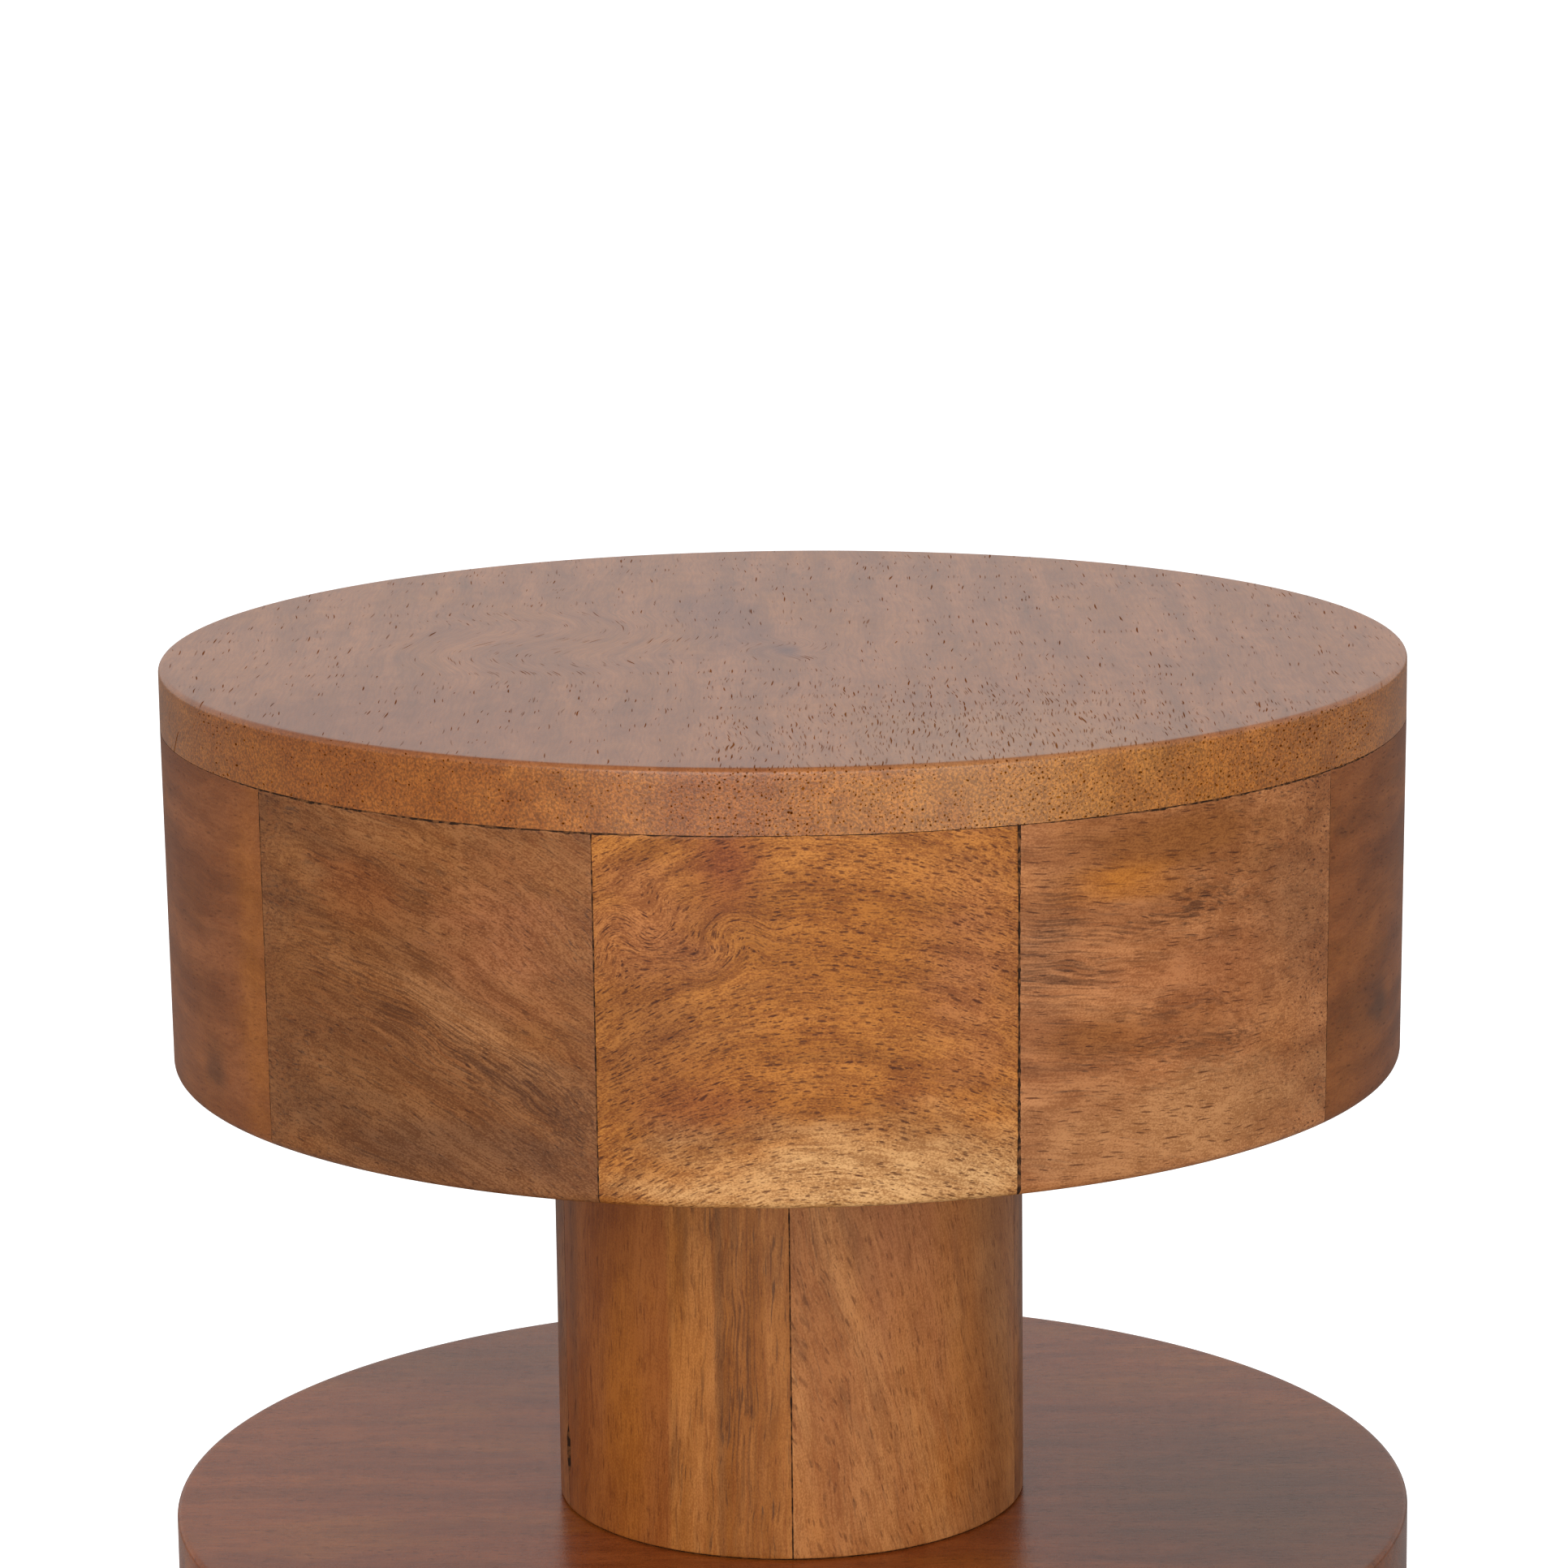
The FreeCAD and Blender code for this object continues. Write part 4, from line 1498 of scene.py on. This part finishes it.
@dataclass
class Studio:
    """The floor, the light and the camera."""

    lens: float = 123.45
    sensor_mm: float = 36.0
    distance: float = 1.3010
    above_top: float = 0.22942
    pitch: float = 0.20004
    roll: float = 0.0117
    surround: float = 0.58
    ceiling: float = 0.25
    ceiling_rise: tuple[float, float] = (0.4, 0.85)
    floor_reach: float = 40.0
    floor_paint: Colour = (0.46, 0.46, 0.46, 1.0)
    floor_glow: float = 0.6
    floor_clears: tuple[float, float] = (0.3, 0.8)
    lamp_target: tuple[float, float, float] = (0, 0, 0.38)
    lamps: tuple[Lamp, ...] = (
        Lamp("key_lamp", (-0.5, -2.3, 1.05), 1.7, 29.0),
        Lamp("fill_lamp", (1.3, -2.2, 0.75), 1.5, 15.0),
        Lamp("back_lamp", (0.2, 2.4, 1.7), 2.0, 14.0, mirrored=False),
    )

    def build(self, top: float) -> None:
        """Sets up the floor, the world, the lamps and the camera.

        Args:
            top: The height of the table's top.
        """
        self._floor()
        self._world()
        for lamp in self.lamps:
            lamp.build(Vector(self.lamp_target))
        self._camera(top)
        bpy.context.scene.view_settings.view_transform = "Standard"

    def _floor(self) -> None:
        """A wide pale floor: it keeps the table's shadow near its foot and runs out to plain white."""
        mesh = bpy.data.meshes.new("floor")
        reach = self.floor_reach
        corners = [(-reach, -reach, 0), (reach, -reach, 0), (reach, reach, 0), (-reach, reach, 0)]
        mesh.from_pydata(corners, [], [(0, 1, 2, 3)])
        floor = bpy.data.objects.new("floor", mesh)
        bpy.context.scene.collection.objects.link(floor)
        nodes = ShaderNodes("floor_paint")
        nodes.shade("Base Color", self.floor_paint)
        nodes.shade("Roughness", 1.0)
        nodes.shade("Specular IOR Level", 0.0)
        far = nodes.step(nodes.length(nodes.add("ShaderNodeTexCoord").outputs["Object"]), *self.floor_clears)
        glow = nodes.add("ShaderNodeEmission")
        nodes.feed(glow.inputs["Strength"], nodes.scaled(far, 1 - self.floor_glow, self.floor_glow))
        both = nodes.add("ShaderNodeAddShader")
        seen = nodes.add("ShaderNodeMixShader")
        paint = nodes.shader.outputs[0]
        for socket, value in zip(both.inputs, (paint, glow.outputs[0])):
            nodes.feed(socket, value)
        looked_at = nodes.add("ShaderNodeLightPath").outputs["Is Camera Ray"]
        for socket, value in zip(seen.inputs, (looked_at, paint, both.outputs[0])):
            nodes.feed(socket, value)
        nodes.feed(nodes.output.inputs["Surface"], seen.outputs[0])
        nodes.material.cycles.emission_sampling = "NONE"
        mesh.materials.append(nodes.material)

    def _world(self) -> None:
        """White where it is seen or mirrored, dimmer overhead in what gloss mirrors, and an even light elsewhere."""
        world = bpy.data.worlds.new("studio")
        bpy.context.scene.world = world
        world.use_nodes = True
        tree = world.node_tree
        tree.nodes.clear()
        output = tree.nodes.new("ShaderNodeOutputWorld")
        light = tree.nodes.new("ShaderNodeBackground")
        light.inputs["Strength"].default_value = self.surround
        white = tree.nodes.new("ShaderNodeBackground")
        source = tree.nodes.new("ShaderNodeTexCoord")
        parts = tree.nodes.new("ShaderNodeSeparateXYZ")
        tree.links.new(source.outputs["Generated"], parts.inputs[0])
        ceiling = tree.nodes.new("ShaderNodeMapRange")
        ceiling.interpolation_type = "SMOOTHSTEP"
        levels = (*self.ceiling_rise, 1.0, self.ceiling)
        for socket, value in zip(("From Min", "From Max", "To Min", "To Max"), levels):
            ceiling.inputs[socket].default_value = value
        tree.links.new(parts.outputs[2], ceiling.inputs["Value"])
        tree.links.new(ceiling.outputs["Result"], white.inputs["Strength"])
        path = tree.nodes.new("ShaderNodeLightPath")
        seen = path.outputs["Is Camera Ray"]
        for mirrored in ("Is Glossy Ray", "Is Transmission Ray"):
            either = tree.nodes.new("ShaderNodeMath")
            either.operation = "MAXIMUM"
            tree.links.new(seen, either.inputs[0])
            tree.links.new(path.outputs[mirrored], either.inputs[1])
            seen = either.outputs[0]
        mixer = tree.nodes.new("ShaderNodeMixShader")
        for socket, value in zip(mixer.inputs, (seen, light.outputs[0], white.outputs[0])):
            tree.links.new(value, socket)
        tree.links.new(mixer.outputs[0], output.inputs["Surface"])

    def _camera(self, top: float) -> None:
        """The photograph's camera: in front, a little above the top, looking down at the column.

        Args:
            top: The height of the table's top.
        """
        data = bpy.data.cameras.new("camera")
        data.lens = self.lens
        data.sensor_width = self.sensor_mm
        camera = bpy.data.objects.new("camera", data)
        level = Euler((math.pi / 2 - self.pitch, 0, 0)).to_matrix()
        camera.rotation_euler = (level @ Matrix.Rotation(-self.roll, 3, "Z")).to_euler()
        camera.location = (0.0, -self.distance, top + self.above_top)
        bpy.context.scene.collection.objects.link(camera)
        bpy.context.scene.camera = camera


# The top ring's segments that the front shows, by number: 10 faces the front, 9 and 8 follow to its left, 1 and 2
# to its right.
TOP_SEGMENTS = {
    10: WoodFinish(
        pale=tone(182, 113, 46), deep=tone(152, 89, 29), seed=1.0, arch_per_mm=0.0068, arch_middle_mm=4.0,
        sway_mm=4.0, amber=0.3, umber=0.15, streaks=0.15, curl=0.2, pores=0.95, pore_depth=0.95,
        pore_length_mm=4.6, pore_width_mm=1.1, mottle=1.05,
        patches=(
            Patch(Stain.AMBER, 10, 20, 20, 14, 0.45),
            Patch(Stain.ROSE, 36, 10, 12, 26, 0.4),
            Patch(Stain.ROSE, -36, 22, 16, 16, 0.45),
            Patch(Stain.RUST, -18, 36, 9, 11, 1.0, ragged=0.6),
            Patch(Stain.BROWN, -34, -8, 18, 20, 0.85),
            Patch(Stain.AMBER, -18, -14, 20, 10, 0.5),
            Patch(Stain.RUST, -24, -18, 14, 8, 0.65),
            Patch(Stain.RUST, 22, -16, 6, 5, 0.4),
            Patch(Stain.SAP, 12, -38, 54, 15, 0.78, turn=3),
        ),
        whorls=(Whorl(-38, 20, 12, 75), Whorl(-20, 18, 13, -80))),
    9: WoodFinish(
        pale=tone(150, 96, 54), deep=tone(128, 78, 41), seed=2.0, slope=18, arch_per_mm=0.0042, sway_mm=6.0,
        amber=0.15, umber=0.22, streaks=0.8, curl=0.2, pores=0.3, pore_depth=0.65, mottle=0.95,
        patches=(
            Patch(Stain.RUST, -13, 24, 14, 9, 0.45, turn=-15),
            Patch(Stain.ROSE, 26, 16, 20, 17, 0.45),
            Patch(Stain.TAN, 16, -3, 26, 5, 0.5, turn=-28),
            Patch(Stain.UMBER, 36, -20, 20, 9, 0.35, turn=-28),
            Patch(Stain.HAIR, 30, -18, 30, 11, 0.8, turn=-28, hairy=True),
            Patch(Stain.HAIR, -10, 2, 34, 12, 0.6, turn=-20, hairy=True),
            Patch(Stain.OLIVE, -12, -26, 32, 13, 0.45),
            Patch(Stain.SMOKE, 12, -34, 44, 11, 0.55),
        )),
    1: WoodFinish(
        pale=tone(188, 123, 75), deep=tone(154, 94, 52), seed=3.0, slope=7, plan_turn=14, sway_mm=3.0,
        amber=0.2, umber=0.25, streaks=0.75, curl=0.2, pores=0.4, pore_depth=0.85, pore_length_mm=9.0,
        pore_width_mm=0.9, end_pores=0.9, mottle=0.8,
        patches=(
            Patch(Stain.BROWN, -8, 34, 40, 11, 0.9),
            Patch(Stain.AMBER, -21, 27, 14, 5, 0.95),
            Patch(Stain.UMBER, -42, 13, 10, 12, 0.3),
            Patch(Stain.HAIR, -38, 12, 14, 16, 0.75, hairy=True),
            Patch(Stain.UMBER, 30, 12, 13, 18, 0.32),
            Patch(Stain.HAIR, -2, 18, 18, 5, 0.75, turn=8, hairy=True),
            Patch(Stain.HAIR, -8, -4, 26, 4, 0.75, hairy=True),
            Patch(Stain.HAIR, -2, -13, 32, 4, 0.65, hairy=True),
            Patch(Stain.HAIR, 8, -22, 30, 4, 0.6, hairy=True),
            Patch(Stain.BROWN, -30, -8, 12, 4, 0.6),
            Patch(Stain.BROWN, -26, -30, 20, 2.5, 0.6, turn=-6),
            Patch(Stain.ROSE, 2, 2, 26, 12, 0.4),
            Patch(Stain.TAN, -2, -31, 50, 13, 0.95),
        )),
    8: WoodFinish(
        pale=tone(160, 96, 54), deep=tone(132, 75, 38), seed=4.0, amber=0.15, umber=0.15, streaks=0.15,
        pores=0.2, pore_depth=0.4, mottle=0.5, specular=0.23,
        patches=(
            Patch(Stain.AMBER, 42, -6, 8, 50, 0.4),
            Patch(Stain.UMBER, 20, -29, 7, 7, 0.5),
        )),
    2: WoodFinish(
        pale=tone(146, 85, 43), deep=tone(117, 65, 30), seed=5.0, amber=0.15, umber=0.25, streaks=0.15,
        pores=0.25, pore_depth=0.5, mottle=0.5, specular=0.22,
        patches=(Patch(Stain.UMBER, -15, -20, 8, 7, 0.7),)),
}

# The ring segments that the front doesn't show take these in turn.
SPARE_WOODS = (
    WoodFinish(pale=tone(178, 120, 72), deep=tone(146, 90, 48), seed=11.0, slope=6),
    WoodFinish(pale=tone(168, 112, 66), deep=tone(132, 82, 46), seed=12.0, slope=-9, umber=0.4, streaks=0.4),
    WoodFinish(pale=tone(186, 126, 72), deep=tone(156, 98, 50), seed=13.0, arch_per_mm=0.005, amber=0.45,
               umber=0.2, whorls=(Whorl(18, -12, 15, 110),)),
    WoodFinish(pale=tone(156, 102, 62), deep=tone(124, 76, 44), seed=14.0, slope=14, amber=0.2, umber=0.4),
    WoodFinish(pale=tone(184, 130, 82), deep=tone(152, 100, 58), seed=15.0, slope=-3, amber=0.3, umber=0.25,
               patches=(Patch(Stain.SAP, 0, -36, 56, 12, 0.5),)),
    WoodFinish(pale=tone(166, 106, 58), deep=tone(136, 82, 42), seed=16.0, arch_per_mm=-0.004, amber=0.4),
    WoodFinish(pale=tone(174, 118, 74), deep=tone(142, 90, 52), seed=17.0, slope=3, umber=0.45, streaks=0.45),
)

TOP_CAP = WoodFinish(
    pale=tone(183, 114, 66), deep=tone(160, 96, 52), seed=21.0, sway_mm=3.0, umber=0.2, streaks=0.2, pores=0.14,
    pore_depth=0.55, end_pores=1.0, pore_length_mm=17.0, pore_width_mm=0.9, mottle=0.5, roughness=0.34,
    specular=0.62, open_pores=True, edge_tint=(0.94, 0.90, 0.46, 1.0),
    pore_field=Patch(Stain.PLUM, -110, -40, 70, 75, 0.7),
    patches=(
        Patch(Stain.RUST, -110, 95, 70, 60, 0.55),
        Patch(Stain.RUST, -152, 12, 14, 16, 0.5),
        Patch(Stain.TAN, -130, -50, 60, 46, 0.5),
        Patch(Stain.PLUM, 40, 14, 60, 12, 0.5, turn=8),
        Patch(Stain.PLUM, -4, -1, 8, 3, 0.9),
    ),
    whorls=(Whorl(10, 60, 50, 40), Whorl(-2, 0, 18, 50)))
TOP_PLANKS = {"left": replace(TOP_CAP, pores=0.12, end_pores=0.25, pore_field=None), "right": TOP_CAP}

LOWER_CAP = WoodFinish(
    pale=tone(163, 86, 38), deep=tone(145, 73, 30), seed=23.0, sway_mm=6.0, umber=0.12, streaks=0.1, pores=0.5,
    pore_depth=0.5, mottle=0.6, roughness=0.24, specular=0.18,
    patches=(
        Patch(Stain.UMBER, 120, -20, 70, 90, 0.72, ragged=0.6),
        Patch(Stain.UMBER, -90, 110, 60, 40, 0.35, ragged=0.6),
    ))
LOWER_PLANKS = {"left": LOWER_CAP, "right": LOWER_CAP}

# The staves of the upper column by number; the front shows the first and the last.
STAVES = (
    WoodFinish(
        pale=tone(188, 126, 72), deep=tone(168, 106, 58), seed=31.0, slope=-12, umber=0.25, streaks=0.4,
        pores=0.5, pore_depth=0.55, mottle=0.6, pore_length_mm=7.0,
        patches=(
            Patch(Stain.ROSE, 20, 6, 40, 14, 0.4),
            Patch(Stain.OLIVE, -10, -24, 90, 13, 0.45),
        )),
    WoodFinish(pale=tone(160, 104, 60), deep=tone(128, 78, 40), seed=32.0, umber=0.35, streaks=0.4, pores=0.5,
               pore_length_mm=7.0),
    WoodFinish(pale=tone(174, 116, 68), deep=tone(140, 86, 46), seed=33.0, umber=0.3, pore_length_mm=7.0),
    WoodFinish(pale=tone(158, 98, 52), deep=tone(126, 74, 36), seed=34.0, umber=0.3, pore_length_mm=7.0),
    WoodFinish(
        pale=tone(190, 124, 64), deep=tone(150, 89, 34), seed=35.0, slope=2, sway_mm=3.0, umber=0.4, streaks=0.8,
        pores=0.4, pore_depth=0.45, mottle=0.55, pore_length_mm=10.0,
        patches=(
            Patch(Stain.RUST, 0, 18, 300, 24, 0.62, softness=0.05, ragged=0.04),
            Patch(Stain.AMBER, -20, 8, 40, 9, 0.55),
            Patch(Stain.UMBER, 0, -19, 80, 1.2, 0.4, ragged=0.8),
            Patch(Stain.HAIR, -8, -24, 50, 5, 0.6, ragged=0.8, hairy=True),
            Patch(Stain.UMBER, 10, 30, 60, 3, 0.4),
        )),
)

# The joint that follows each board, by the board's number; 0 and 10 are the same joint of the top ring.
FRONT_JOINT = JointLine(0.32, 0.22, 0.1)
TOP_JOINTS = {0: FRONT_JOINT, 1: JointLine(0.10), 8: JointLine(0.12), 9: JointLine(0.16), 10: FRONT_JOINT}
UPPER_JOINTS = {
    4: JointLine(0.1, 0.12, open_mm=(9.0, 22.0), open_half_width_mm=1.4, open_depth_mm=0.8),
    5: JointLine(0.16, 0.15, least_mm=0.17),
}

# The height of the filler under a cap: bearing and millimetres.
TOP_SEAM_MM = ((-180, 0.3), (-60, 0.18), (-46, 0.5), (-18, 0.5), (-4, 0.25), (16, 0.2), (26, 0.3), (40, 0.62),
               (56, 0.5), (70, 0.12), (180, 0.25))
LOWER_SEAM_MM = ((-180, 0.25), (180, 0.3))


def main() -> None:
    """Builds the table, dresses it and sets up the studio."""
    logging.basicConfig(level=logging.INFO, format="%(name)s: %(message)s")
    filler = FillerFinish().material()
    ply = PlyFinish().material("panel_plywood")
    Drum("top", TOP_SEGMENTS, TOP_PLANKS, SPARE_WOODS, TOP_JOINTS, TOP_SEAM_MM).build(filler, ply)
    Drum("middle", {}, LOWER_PLANKS, SPARE_WOODS[2:] + SPARE_WOODS[:2], {}, LOWER_SEAM_MM).build(filler, ply)
    Drum("base", {}, LOWER_PLANKS, SPARE_WOODS[4:] + SPARE_WOODS[:4], {}, LOWER_SEAM_MM).build(filler, ply)
    Column("upper", STAVES, UPPER_JOINTS).build(filler)
    Column("lower", STAVES[2:] + STAVES[:2], {}).build(filler)
    FeltPads().build(FeltFinish().material())
    InnerParts().dress()
    Studio().build(CAD_BOX[1].z)


if __name__ == "__main__":
    main()
